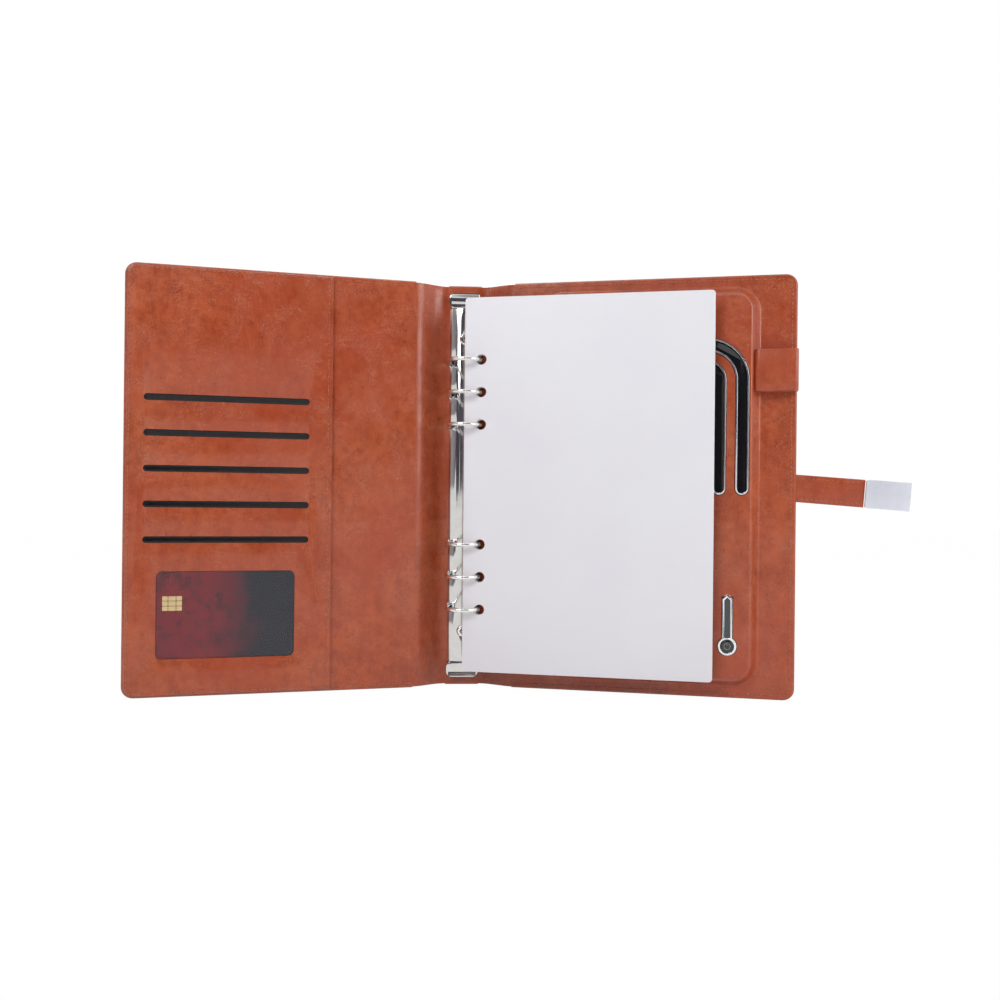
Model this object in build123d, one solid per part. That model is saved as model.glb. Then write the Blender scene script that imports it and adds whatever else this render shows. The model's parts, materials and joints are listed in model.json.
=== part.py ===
"""Ring notebook with a power bank in its back cover, standing open in a V on its lower edges.

Frame: X to the right along the spine's width, -Y towards the reader, +Z up the spine.
The origin is the foot of the spine, in the middle of its width and of its thickness.
"""
from build123d import *
import math
import os

# Overall sizes of the case, in millimetres and degrees
book_height = 242.0
cover_width = 163.0
spine_width = 20.0
hinge_strip_width = 22.0
hinge_strip_tilt = 28.0
front_cover_tilt = 12.0
back_cover_tilt = 15.0
cover_corner_radius = 6.5

# Layers of the case
outer_leather = 1.0
board_thickness = 2.2
lining_thickness = 0.8
board_margin = 4.0
lining_inset = 0.5
strip_leather = 0.9
strip_lining = 0.6
strip_lining_sink = 0.1
seam_gap = 0.03
layer_gap = 0.05

# Ring mechanism
ring_radius = 9.75
ring_wire = 2.5
ring_reach = 18.0
ring_outer_pitch = 19.0
ring_middle_pitch = 70.0
ring_split_gap = 0.2
ring_foot_x = 7.0
rail_width = 18.0
rail_height = 6.4
rail_length = 212.0
rail_sheet = 0.8
rail_seat_gap = 0.05
ring_notch_clearance = 0.6
rivet_pitch = 175.0
rivet_radius = 2.4
rivet_hole_radius = 1.1
rivet_head_radius = 3.6
rivet_head_height = 0.9
hinge_plate_thickness = 0.8
hinge_plate_end = 3.0
hinge_plate_gap = 0.5
hinge_plate_level = 2.4
lever_length = 9.0
lever_width = 19.0
lever_sheet = 1.0
lever_rise = 3.8
lever_web = 2.4
lever_tongue = 2.6
lever_scoop_radius = 6.0
lever_scoop_depth = 0.8
lever_gap = 0.5
lever_tip_radius = 3.5
lever_pivot_radius = 0.7
lever_pivot_inset = 1.2
lever_pivot_level = 2.0
lever_pin_clearance = 0.15

# Power bank under the lining of the back cover
platform_height = 6.8
platform_start = 20.0
platform_end_from_edge = 25.2
platform_foot = 12.0
platform_top_margin = 12.0
platform_slope = 1.6
platform_corner = 9.0
case_sink = 2.1
case_wall = 1.2
case_lid = 1.0
cell_end_from_edge = 82.0
cell_thickness = 5.0
cell_spacing = 4.0
cell_corner = 2.0
cell_count = 2
cell_clearance = 0.4
circuit_end_from_edge = 31.4
circuit_margin = 3.0
circuit_height = 26.0
circuit_thickness = 1.0
socket_board_height = 24.0
socket_wall = 0.3
socket_floor = 0.15
usb_out_width = 13.2
usb_out_thickness = 5.6
usb_out_depth = 14.0
usb_out_tongue = 11.0
usb_out_tongue_thickness = 1.4
usb_in_width = 8.0
usb_in_tongue = 4.6
usb_in_tongue_thickness = 0.6
usb_tongue_recess = 1.2
usb_in_thickness = 3.2
usb_in_depth = 6.0
socket_spacing = 26.0
socket_clearance = 0.1

# Cable channels let into the platform
channel_centre_from_edge = 50.3
channel_arc_from_top = 60.5
channel_limb = 61.5
channel_outer_radius = 20.1
channel_inner_radius = 7.4
channel_width = 5.4
channel_depth = 4.6
channel_floor = 0.6
channel_side = 0.5
rim_width = 0.9
rim_height = 0.5

# Charge indicator with its push button
indicator_from_edge = 37.5
indicator_centre_height = 30.6
indicator_bulb_radius = 5.2
indicator_stem_width = 5.6
indicator_stem_top = 60.0
indicator_rim = 0.9
indicator_stand = 0.5
button_radius = 3.7
button_height = 2.4
button_travel = 0.6
button_stand = 0.9
button_clearance = 0.15
window_width = 3.2
window_thickness = 0.5
switch_size = 3.0
light_count = 5
light_size = 1.4

# Pages
page_width = 143.2
page_height = 218.5
page_stack = 4.6
page_lift = 1.0
page_offset = 0.6
page_corner = 2.0
cover_sheet_thickness = 0.4
sheet_gap = 0.1
page_hole_radius = 3.1
page_hole_shift = 0.75

# Card pocket on the front cover
pocket_width = 114.0
pocket_sheet_thickness = 0.8
pocket_space = 1.3
pocket_rim = 2.5
pocket_margin = 1.6
slot_count = 5
slot_length = 90.5
slot_opening = 3.7
slot_from_edge = 10.6
slot_first_from_top = 74.6
slot_pitch = 19.8
slot_binding_width = 0.7
slot_binding_height = 0.3
pocket_liner_thickness = 0.3
window_from_edge = 18.0
window_length = 75.5
window_foot = 21.6
window_height = 49.0
window_corner = 3.5
window_lap = 3.0
film_thickness = 0.2
card_width = 85.6
card_height = 54.0
card_thickness = 0.76
card_corner = 3.2

# Pen loop, strap and clasp
loop_width = 23.8
loop_height = 23.7
loop_from_top = 55.2
loop_leather = 1.0
loop_base = 0.8
loop_end = 2.4
loop_space = 5.8
loop_overhang = 0.4
strap_width = 15.6
strap_length = 37.55
strap_leather = 1.8
strap_droop = 4.3
strap_below_middle = 0.6
strap_gap = 0.4
clip_length = 23.55
clip_width = 15.8
clip_thickness = 4.2
clip_sheet = 0.6
clip_gap = 0.7
clip_magnet_length = 14.0
clip_magnet_width = 10.0
clip_magnet_thickness = 1.6
tongue_length = 7.0
keeper_width = 16.0
keeper_height = 12.0
keeper_thickness = 0.8
keeper_from_edge = 14.0

# Values worked out from the sizes above
case_thickness = outer_leather + board_thickness + lining_thickness
half_case = case_thickness / 2
strip_rise = hinge_strip_width * math.sin(math.radians(hinge_strip_tilt))
strip_run = hinge_strip_width * math.cos(math.radians(hinge_strip_tilt))
platform_top = book_height - platform_top_margin
platform_end = cover_width - platform_end_from_edge
channel_arc_height = book_height - channel_arc_from_top
channel_foot = channel_arc_height - channel_limb
slot_first_height = book_height - slot_first_from_top
loop_centre_height = book_height - loop_from_top
strap_centre_height = book_height / 2 - strap_below_middle
panel_x = spine_width / 2 + strip_run
panel_y = -half_case - strip_rise
ring_y = -half_case - ring_reach
ring_levels = [
    book_height / 2 + side * (ring_middle_pitch / 2 + step * ring_outer_pitch)
    for side in (-1, 1)
    for step in (0, 1, 2)
]

spine_plane = Plane((0, -half_case, 0), x_dir=(1, 0, 0), z_dir=(0, -1, 0))


def tilted_plane(origin, tilt):
    """Plane of a panel: X to the right in the panel, Y up, Z to the reader.

    A positive tilt brings the panel's right side towards the reader.
    """
    angle = math.radians(tilt)
    right = (math.cos(angle), -math.sin(angle), 0)
    reader = (-math.sin(angle), -math.cos(angle), 0)
    return Plane(origin, x_dir=right, z_dir=reader)


back_plane = tilted_plane((panel_x, panel_y, 0), back_cover_tilt)
front_plane = tilted_plane((-panel_x, panel_y, 0), -front_cover_tilt)
page_plane = tilted_plane((0, ring_y, 0), back_cover_tilt)


def block(left, right, low, high, back, front):
    """Box given by its six sides."""
    return Pos((left + right) / 2, (low + high) / 2, (back + front) / 2) * Box(
        right - left, high - low, front - back
    )


def rounded_plate(left, right, low, high, back, front, radius):
    """Plate with four rounded corners."""
    outline = RectangleRounded(right - left, high - low, radius)
    plate = extrude(outline, amount=front - back)
    return Pos((left + right) / 2, (low + high) / 2, back) * plate


def cover_plate(inner, outer, low, high, back, front, radius):
    """Plate with rounded corners at its outer end only; inner and outer are signed."""
    left, right = min(inner, outer), max(inner, outer)
    plate = block(left, right, low, high, back, front)
    corner_edges = plate.edges().filter_by(Axis.Z).sort_by(Axis.X)
    outer_edges = corner_edges[-2:] if outer > inner else corner_edges[:2]
    return fillet(outer_edges, radius)


def stadium(length, width, back, front):
    """Flat bar with round ends along X, centred on the origin."""
    return Pos(0, 0, back) * extrude(SlotOverall(length, width), amount=front - back)


def place(plane, shape):
    """Put a shape that was made in a panel's own frame where the panel stands."""
    return plane.location * shape


def write(name, shape):
    """Write one piece, or one group of like pieces, as a STEP file."""
    solids = shape if isinstance(shape, list) else [shape]
    flat = [solid for item in solids for solid in item.solids()]
    body = flat[0] if len(flat) == 1 else Compound(children=flat)
    body.label = name
    export_step(body, f"parts/{name}.step")


def cover_shell(side):
    """Outer leather of a cover with the bed for its board; side is 1 for the back cover."""
    outer = side * cover_width
    sheet = cover_plate(
        0, outer, 0, book_height, -case_thickness, -lining_thickness, cover_corner_radius
    )
    bed = cover_plate(
        -side * 1.0, outer - side * board_margin, board_margin, book_height - board_margin,
        -case_thickness + outer_leather, 0, cover_corner_radius - board_margin / 2,
    )
    return sheet - bed


def cover_board(side):
    """Stiff board between the leather and the lining."""
    outer = side * (cover_width - board_margin - layer_gap)
    return cover_plate(
        0, outer, board_margin + layer_gap, book_height - board_margin - layer_gap,
        -case_thickness + outer_leather, -lining_thickness, cover_corner_radius - board_margin / 2,
    )


def back_board():
    """Board of the back cover, with the window that the power bank sits in."""
    return cover_board(1) - case_block(-layer_gap, -case_thickness, 1)


def flat_lining(side):
    """Lining of a cover, stitched down close to its edge."""
    outer = side * (cover_width - lining_inset)
    return cover_plate(
        0, outer, lining_inset, book_height - lining_inset,
        -lining_thickness, 0, cover_corner_radius - lining_inset,
    )


def platform_form(shrink, top, base):
    """Raised form over the power bank, with sloping sides and rounded corners."""
    left, right = platform_start + shrink, platform_end - shrink
    low, high = platform_foot + shrink, platform_top - shrink
    width, height = right - left, high - low
    slope = 2 * platform_slope
    foot_outline = RectangleRounded(width + slope, height + slope, platform_corner)
    top_outline = RectangleRounded(width, height, platform_corner)
    form = loft([Pos(0, 0, base) * foot_outline, Pos(0, 0, top) * top_outline])
    return Pos((left + right) / 2, (low + high) / 2, 0) * form


def channel_band(radius, width, back, front):
    """Band of even width along the upside-down U, with round feet."""
    centre = cover_width - channel_centre_from_edge
    ring = Circle(radius + width / 2)
    if radius > width / 2:
        ring -= Circle(radius - width / 2)
    upper = ring & Pos(0, radius + width) * Rectangle(4 * radius + 4 * width, 2 * radius + 2 * width)
    band = Pos(centre, channel_arc_height) * upper
    for side in (-1, 1):
        middle = Pos(centre + side * radius, channel_foot + channel_limb / 2)
        band += middle * Rectangle(width, channel_limb)
        band += Pos(centre + side * radius, channel_foot) * Circle(width / 2)
    return Pos(0, 0, back) * extrude(band, amount=front - back)


def indicator_outline(shrink):
    """Thermometer outline: a round bulb below a stem with a pointed arch."""
    bulb = Circle(indicator_bulb_radius - shrink)
    half = indicator_stem_width / 2 - shrink
    top = indicator_stem_top - indicator_centre_height - shrink
    stem = Polygon(
        (-half, 0), (half, 0), (half, top - half), (half * 0.45, top - half * 0.25),
        (0, top), (-half * 0.45, top - half * 0.25), (-half, top - half), align=None,
    )
    return bulb + stem


def on_indicator(shape):
    """Move a shape from the indicator's bulb centre to its place on the back cover."""
    return Pos(cover_width - indicator_from_edge, indicator_centre_height, 0) * shape


def back_lining():
    """Lining of the back cover, formed over the power bank and cut for channels and indicator."""
    sheet = flat_lining(1)
    hump = platform_form(0, platform_height, -0.001)
    hollow = platform_form(lining_thickness, platform_height - lining_thickness, -lining_thickness - 0.5)
    sheet = sheet + hump - hollow
    for radius in (channel_outer_radius, channel_inner_radius):
        cut = channel_width + 2 * rim_width + 2 * layer_gap
        sheet -= channel_band(radius, cut, 1.0, platform_height + 1)
    seat = extrude(indicator_outline(-layer_gap), amount=platform_height)
    sheet -= on_indicator(Pos(0, 0, 1.0) * seat)
    return sheet


case_top = platform_height - lining_thickness
case_back = -lining_thickness - case_sink
case_floor = case_back + case_wall
case_shrink = lining_thickness + 0.6


def case_block(shrink, back, front):
    """Straight-sided block of the power bank, shrunk on each side."""
    inset = case_shrink + shrink
    return rounded_plate(
        platform_start + inset, platform_end - inset, platform_foot + inset, platform_top - inset,
        back, front, platform_corner - inset / 2,
    )


def socket_centres():
    """Places of the output and the input socket along the top edge of the power bank."""
    middle = (platform_start + platform_end) / 2
    return middle - socket_spacing / 2, middle + socket_spacing / 2


def socket_cut(centre, width, thickness, depth, clearance):
    """Space of a socket that opens through the platform's upper edge."""
    level = socket_floor + thickness / 2
    high = platform_top + platform_slope + 1
    low = platform_top - case_shrink - depth
    half_width = width / 2 + clearance
    half_depth = thickness / 2 + clearance
    return block(
        centre - half_width, centre + half_width, low, high, level - half_depth, level + half_depth
    )


def socket_cuts():
    """Openings of both sockets."""
    first, second = socket_centres()
    return [
        socket_cut(first, usb_out_width, usb_out_thickness, usb_out_depth, socket_clearance),
        socket_cut(second, usb_in_width, usb_in_thickness, usb_in_depth, socket_clearance),
    ]


channel_seat_width = channel_width + 2 * rim_width + 2 * layer_gap
channel_seat_level = platform_height - channel_depth - channel_floor - layer_gap


def power_bank_tray():
    """Lower shell of the power bank."""
    tray = case_block(0, case_back, case_top - case_lid)
    tray -= case_block(case_wall, case_floor, case_top)
    for radius in (channel_outer_radius, channel_inner_radius):
        tray -= channel_band(radius, channel_seat_width, channel_seat_level, case_top)
    for cut in socket_cuts():
        tray -= cut
    return tray


def power_bank_lid():
    """Upper shell, cut for the cable channels and the indicator."""
    lid = case_block(0, case_top - case_lid, case_top)
    for radius in (channel_outer_radius, channel_inner_radius):
        lid -= channel_band(radius, channel_seat_width, 0, case_top + 1)
    lid -= on_indicator(extrude(indicator_outline(-layer_gap), amount=case_top + 1))
    for cut in socket_cuts():
        lid -= cut
    return lid


def cable_channel(radius):
    """Trough of one cable channel."""
    top = platform_height
    outside = channel_width + 2 * channel_side
    trough = channel_band(radius, outside, top - channel_depth - channel_floor, top)
    return trough - channel_band(radius, channel_width, top - channel_depth, top + 1)


def channel_rim(radius):
    """Bright metal rim round the mouth of one cable channel."""
    top = platform_height
    inner_edge = channel_width + 2 * channel_side + 2 * layer_gap
    outer_edge = channel_width + 2 * rim_width
    low = top - 2.2
    wall = channel_band(radius, outer_edge, low, top + rim_height)
    wall -= channel_band(radius, inner_edge, low - 1, top + rim_height + 1)
    lip = channel_band(radius, outer_edge, top + 0.02, top + rim_height)
    lip -= channel_band(radius, channel_width, top - 1, top + rim_height + 1)
    return wall + lip


def battery_cells():
    """Two flat cells lying in the tray, clear of the channels above them."""
    left = platform_start + case_shrink + case_wall + cell_clearance
    right = cover_width - cell_end_from_edge
    low = platform_foot + case_shrink + case_wall + cell_clearance
    middle = low + circuit_height + cell_spacing
    high = platform_top - case_shrink - case_wall - cell_clearance - socket_board_height
    cell_height = (high - middle) / cell_count - cell_spacing
    cells = []
    for index in range(cell_count):
        row = middle + index * (cell_height + cell_spacing)
        top = case_floor + cell_thickness
        cell = block(left, right, row, row + cell_height, case_floor, top)
        cells.append(fillet(cell.edges().filter_by(Axis.Z), cell_corner))
    return cells


def circuit_board():
    """Control board along the foot of the tray, under the indicator."""
    left = platform_start + case_shrink + case_wall + circuit_margin
    low = platform_foot + case_shrink + case_wall + circuit_margin
    top = case_floor + circuit_thickness
    right = cover_width - circuit_end_from_edge
    return block(left, right, low, low + circuit_height, case_floor, top)


def socket_board():
    """Small board that carries the two sockets at the top of the tray."""
    first, second = socket_centres()
    high = platform_top - case_shrink - case_wall - cell_clearance
    left = first - usb_out_width / 2
    right = second + usb_out_width / 2
    return block(left, right, high - socket_board_height, high, case_floor, socket_floor - socket_clearance)


def usb_shell(centre, width, thickness, depth):
    """Pressed metal shell of a socket, open at its upper end."""
    level = socket_floor + thickness / 2
    high = platform_top - case_shrink
    low = high - depth + socket_clearance
    half = width / 2
    deep = thickness / 2
    shell = block(centre - half, centre + half, low, high, level - deep, level + deep)
    cavity = block(
        centre - half + socket_wall, centre + half - socket_wall, low + 1.0, high + 1,
        level - deep + socket_wall, level + deep - socket_wall,
    )
    return shell - cavity


def usb_tongue(centre, width, depth, thickness, socket_thickness):
    """Contact tongue that stands inside a socket's shell."""
    level = socket_floor + socket_thickness / 2
    high = platform_top - case_shrink
    low = high - depth + socket_clearance + 1.0
    half = width / 2
    deep = thickness / 2
    return block(
        centre - half, centre + half, low, high - usb_tongue_recess, level - deep, level + deep
    )


def indicator_bezel():
    """Bright frame of the indicator with openings for the window and the button."""
    low, high = platform_height - 1.6, platform_height + indicator_stand
    frame = Pos(0, 0, low) * extrude(indicator_outline(0), amount=high - low)
    bore = Pos(0, 0, low - 1) * extrude(Circle(button_radius + button_clearance), amount=high)
    frame -= bore
    return on_indicator(frame - indicator_window_form(layer_gap, low - 1, high + 1))


def indicator_window_form(grow, back, front):
    """Slim window along the stem above the button."""
    half = window_width / 2 + grow
    low = button_radius + button_clearance + 0.9 - grow
    high = indicator_stem_top - indicator_centre_height - indicator_rim - 0.9 + grow
    outline = Polygon(
        (-half, low), (half, low), (half, high - half), (0, high), (-half, high - half), align=None
    )
    return Pos(0, 0, back) * extrude(outline, amount=front - back)


def indicator_window():
    """Dark clear window over the charge lights."""
    top = platform_height + indicator_stand - 0.2
    return on_indicator(indicator_window_form(0, top - window_thickness, top))


def charge_lights():
    """Small lights in a row under the window, on their strip."""
    top = platform_height + indicator_stand - 0.2 - window_thickness - layer_gap
    low = button_radius + button_clearance + 1.2
    high = indicator_stem_top - indicator_centre_height - indicator_rim - 3.0
    strip = block(-window_width / 2, window_width / 2, low, high, top - 0.9, top - 0.4)
    pitch = (high - low) / light_count
    for index in range(light_count):
        height = low + (index + 0.5) * pitch
        half = light_size / 2
        strip += block(-half, half, height - half, height + half, top - 0.4, top)
    return on_indicator(strip)


def indicator_post():
    """Post on the board that carries the light strip and the bezel."""
    strip_level = platform_height + indicator_stand - 0.2 - window_thickness - layer_gap - 0.9
    low = button_radius + button_clearance + 1.2
    return on_indicator(block(-1.2, 1.2, low + 2, low + 8, case_floor + circuit_thickness, strip_level))


def power_button():
    """Round push button with a pip that reaches the switch."""
    top = platform_height + button_stand
    cap = Pos(0, 0, top - button_height) * extrude(Circle(button_radius), amount=button_height)
    rim_edges = cap.edges().filter_by(GeomType.CIRCLE).sort_by(Axis.Z)[-1:]
    return on_indicator(chamfer(rim_edges, 0.3))


def button_switch():
    """Tactile switch under the button."""
    low = case_floor + circuit_thickness
    high = platform_height + button_stand - button_height - button_travel - 0.1
    half = switch_size / 2
    return on_indicator(block(-half, half, -half, half, low, high))


def spine_shell():
    """Outer leather of the spine with the bed for its board."""
    half = spine_width / 2
    sheet = block(-half, half, 0, book_height, -case_thickness, -lining_thickness)
    top = book_height - board_margin
    bed = block(-half - 1, half + 1, board_margin, top, -case_thickness + outer_leather, 0)
    return sheet - bed


def spine_board():
    """Stiff board in the spine."""
    half = spine_width / 2
    return block(
        -half, half, board_margin + layer_gap, book_height - board_margin - layer_gap,
        -case_thickness + outer_leather, -lining_thickness,
    )


def spine_lining():
    """Lining of the spine under the ring rail."""
    half = spine_width / 2
    return block(-half, half, lining_inset, book_height - lining_inset, -lining_thickness, 0)


def strip_between(side, level, thickness, inset):
    """Flexible strip between the spine's end face and a cover's, at a level below the lining's face."""
    plane = back_plane if side > 0 else front_plane
    near = []
    far = []
    for face in (level + thickness / 2, level - thickness / 2):
        near.append((side * (spine_width / 2 + seam_gap), -half_case - face))
        end = (plane.location * Pos(-side * seam_gap, 0, face)).position
        far.append((end.X, end.Y))
    outline = Polygon(near[0], far[0], far[1], near[1], align=None)
    return Pos(0, 0, inset) * extrude(outline, amount=book_height - 2 * inset, dir=(0, 0, 1))


def hinge_leather(side):
    """Outer leather of a flexible hinge strip."""
    return strip_between(side, -case_thickness + outer_leather / 2, strip_leather, 0)


def hinge_lining(side):
    """Lining of a flexible hinge strip."""
    return strip_between(side, -strip_lining_sink - strip_lining / 2, strip_lining, lining_inset)


rail_low = (book_height - rail_length) / 2
rail_high = rail_low + rail_length


def rail_section(width, height):
    """Outline of the arched rail in plan: straight sides under a shallow crown."""
    half = width / 2
    side = height * 0.45
    sides = Polyline((half, side), (half, 0), (-half, 0), (-half, side))
    crown = ThreePointArc((-half, side), (0, height), (half, side))
    return make_face(Curve() + [sides, crown])


def ring_rail():
    """Arched steel rail, open below, with notches for the rings and holes for its rivets."""
    outside = extrude(rail_section(rail_width, rail_height), amount=rail_length)
    hollow = rail_section(rail_width - 2 * rail_sheet, rail_height - rail_sheet)
    shell = outside - Pos(0, -0.01, 0) * extrude(hollow, amount=rail_length)
    upright = Rot(180, 0, 0) * Pos(0, 0, -rail_length) * shell
    shell = Pos(0, -half_case - rail_seat_gap, rail_low) * upright
    for level in ring_levels:
        for side in (-1, 1):
            notch_half = ring_wire / 2 + ring_notch_clearance
            notch = Pos(side * rail_width / 2, -half_case - 5.0, level) * Box(9.0, 7.6, 2 * notch_half)
            shell -= notch
    for level in rivet_levels():
        shell -= Pos(0, -half_case, level) * Rot(90, 0, 0) * Cylinder(rivet_radius + 0.1, 4 * rail_height)
    return shell


def rivet_levels():
    """Heights of the two rail rivets."""
    return [book_height / 2 - rivet_pitch / 2, book_height / 2 + rivet_pitch / 2]


def rail_rivets():
    """Hollow rivets that hold the rail down on the spine board."""
    rivets = []
    crown = rail_height + rail_seat_gap
    for level in rivet_levels():
        on_base = (Align.CENTER, Align.CENTER, Align.MIN)
        shank = Cylinder(rivet_radius, crown + rivet_head_height, align=on_base)
        head = Pos(0, 0, crown + 0.02) * Cone(
            rivet_head_radius, rivet_radius + 0.3, rivet_head_height, align=on_base
        )
        bore = Pos(0, 0, 1.5) * Cylinder(rivet_hole_radius, crown + 5, align=on_base)
        rivet = shank + head - bore
        rivets.append(place(spine_plane, Pos(0, level, 0) * rivet))
    return rivets


def hinge_plate(side):
    """Long plate inside the rail that carries one row of half rings."""
    inner = hinge_plate_gap / 2
    outer = rail_width / 2 - rail_sheet - 0.35
    low, high = rail_low + hinge_plate_end, rail_high - hinge_plate_end
    left, right = sorted((side * inner, side * outer))
    level = hinge_plate_level
    plate = block(left, right, low, high, level - hinge_plate_thickness, level)
    for rivet_level in rivet_levels():
        plate -= Pos(0, rivet_level, level) * Cylinder(rivet_radius + 0.8, 4)
    return place(spine_plane, plate)


def half_ring(side, level):
    """Half ring: an arc round the page holes and a straight leg down to the hinge plate."""
    foot = Vector(ring_foot_x, hinge_plate_level)
    centre = Vector(0, ring_reach)
    to_foot = foot - centre
    turn = math.acos(ring_radius / to_foot.length)
    angle = math.atan2(to_foot.Y, to_foot.X) + turn
    touch = centre + Vector(math.cos(angle), math.sin(angle)) * ring_radius
    start_angle = math.asin(ring_split_gap / 2 / ring_radius)
    top_angle = math.pi / 2 - start_angle
    top = centre + Vector(math.cos(top_angle), math.sin(top_angle)) * ring_radius
    middle_angle = (top_angle + angle) / 2
    middle = centre + Vector(math.cos(middle_angle), math.sin(middle_angle)) * ring_radius
    arc = ThreePointArc((top.X, 0, top.Y), (middle.X, 0, middle.Y), (touch.X, 0, touch.Y))
    leg = Line((touch.X, 0, touch.Y), (foot.X, 0, foot.Y - hinge_plate_thickness))
    path = Wire([arc, leg])
    section = Plane(origin=path @ 0, z_dir=path % 0) * Circle(ring_wire / 2)
    wire = sweep(section, path=path, transition=Transition.RIGHT)
    wire -= block(0, rail_width, -ring_wire, ring_wire, -2 * ring_wire, hinge_plate_level)
    if side < 0:
        wire = mirror(wire, Plane.YZ)
    return place(spine_plane, Pos(0, level, 0) * wire)


def ring_row(side, levels):
    """Three half rings of one side."""
    return [half_ring(side, level) for level in levels]


def opener_lever(end):
    """Thumb lever at one end of the rail, on a cross pin; end is 1 at the top."""
    edge = rail_high if end > 0 else rail_low
    half = lever_width / 2
    inner_half = rail_width / 2 - rail_sheet - lever_pin_clearance
    top = lever_rise + lever_sheet
    tab = rounded_plate(
        -half, half, lever_gap, lever_gap + lever_length, lever_rise, top, lever_tip_radius
    )
    scoop_middle = lever_gap + lever_length * 0.6
    scoop = Pos(0, scoop_middle, top + lever_scoop_radius - lever_scoop_depth)
    tab -= scoop * Rot(0, 90, 0) * Cylinder(lever_scoop_radius, lever_width - 2.4)
    cheek_foot = lever_pivot_level - lever_pivot_radius
    web = block(-inner_half, inner_half, lever_gap, lever_gap + lever_web, cheek_foot, lever_rise)
    tongue = block(-inner_half, inner_half, -lever_tongue, lever_gap, cheek_foot, lever_pivot_level)
    pin = Pos(0, -lever_pivot_inset, lever_pivot_level) * Rot(0, 90, 0) * Cylinder(
        lever_pivot_radius, 2 * inner_half
    )
    lever = tab + web + tongue + pin
    if end < 0:
        lever = mirror(lever, Plane.XZ)
    return place(spine_plane, Pos(0, edge, 0) * lever)


def page_holes(depth):
    """Row of round holes along the binding edge, in the page frame."""
    hole_u = ring_radius + page_hole_shift
    return [Pos(hole_u, level, 0) * Cylinder(page_hole_radius, depth) for level in ring_levels]


page_low = (book_height - page_height) / 2


def page_sheet(back, front):
    """Sheet or stack of sheets with its six holes; back and front are counted from the rings' centre."""
    sheet = rounded_plate(
        page_offset, page_offset + page_width, page_low, page_low + page_height, back, front, page_corner
    )
    for hole in page_holes(4 * page_stack):
        sheet -= hole
    return place(page_plane, sheet)


def pocket_outline(shrink, back, front):
    """Pocket sheet's outline, rounded at the cover's outer corners."""
    outer = -cover_width + pocket_margin + shrink
    inner = -cover_width + pocket_width - shrink
    return cover_plate(
        inner, outer, pocket_margin + shrink, book_height - pocket_margin - shrink, back, front,
        cover_corner_radius - pocket_margin,
    )


def slot_places():
    """Centres of the card slots in the front cover's frame."""
    middle = -cover_width + slot_from_edge + slot_length / 2
    return [(middle, slot_first_height - index * slot_pitch) for index in range(slot_count)]


def window_frame(grow, back, front):
    """Rounded rectangle of the card window."""
    left = -cover_width + window_from_edge - grow
    right = left + window_length + 2 * grow
    return rounded_plate(
        left, right, window_foot - grow, window_foot + window_height + grow, back, front, window_corner
    )


def pocket_sheet():
    """Card pocket: a leather sheet stitched down round its rim, with slots and a window."""
    top = pocket_space + pocket_sheet_thickness
    sheet = pocket_outline(0, 0, top) - pocket_outline(pocket_rim, -1, pocket_space)
    for across, up in slot_places():
        sheet -= Pos(across, up, 0) * stadium(slot_length, slot_opening, pocket_space - 0.5, top + 1)
    return sheet - window_frame(0, 0, top + 1)


def slot_bindings():
    """Black edging let into each slot."""
    top = pocket_space + pocket_sheet_thickness
    bindings = []
    for across, up in slot_places():
        length, width = slot_length - 2 * layer_gap, slot_opening - 2 * layer_gap
        bar = stadium(length, width, pocket_space, top + slot_binding_height)
        bar -= stadium(length - 2 * slot_binding_width, width - 2 * slot_binding_width, 0, top + 2)
        bindings.append(Pos(across, up, 0) * bar)
    return bindings


def pocket_liner():
    """Black fabric behind the slots."""
    left = -cover_width + pocket_margin + pocket_rim + 0.5
    right = -cover_width + pocket_width - pocket_rim - 0.5
    low = window_foot + window_height + window_lap + 3.0
    high = slot_first_height + slot_pitch
    return block(left, right, low, high, pocket_space - pocket_liner_thickness, pocket_space)


def window_film():
    """Clear film welded behind the card window."""
    return window_frame(window_lap, pocket_space - film_thickness, pocket_space)


def window_card():
    """Plain card kept behind the window."""
    middle_u = -cover_width + window_from_edge + window_length / 2
    middle_v = window_foot + window_height / 2 - 0.8
    front = pocket_space - film_thickness - layer_gap
    return rounded_plate(
        middle_u - card_width / 2, middle_u + card_width / 2, middle_v - card_height / 2,
        middle_v + card_height / 2, front - card_thickness, front, card_corner,
    )


def pen_loop():
    """Flat leather loop for a pen near the outer edge of the back cover."""
    right = cover_width + loop_overhang
    left = right - loop_width
    low = loop_centre_height - loop_height / 2
    high = low + loop_height
    band = block(left, right, low, high, 0, loop_space + loop_leather)
    band -= block(left + loop_end, right - loop_end, low - 1, high + 1, loop_base, loop_space)
    return band


def strap_frame():
    """Frame of the strap: X along it, Y across it, Z to the reader, drooping a little."""
    at_edge = Pos(cover_width, strap_centre_height, -case_thickness / 2)
    return back_plane.location * at_edge * Rot(0, 0, -strap_droop)


def closure_strap():
    """Leather strap between the cover's edge and the clip."""
    lean = strap_width / 2 * math.tan(math.radians(strap_droop))
    start = strap_gap + lean
    half = strap_width / 2
    band = block(start, strap_length - clip_gap, -half, half, -strap_leather / 2, strap_leather / 2)
    return strap_frame() * band


def strap_clip():
    """Folded metal sleeve crimped on the end of the strap."""
    half = clip_width / 2
    deep = clip_thickness / 2
    start, end = strap_length, strap_length + clip_length
    sleeve = block(start, end, -half, half, -deep, deep)
    sleeve = fillet(sleeve.edges().filter_by(Axis.Z), clip_sheet)
    wall = clip_sheet
    cavity = block(start - 1, end - wall, -half + wall, half - wall, -deep + wall, deep - wall)
    return strap_frame() * (sleeve - cavity)


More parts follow.
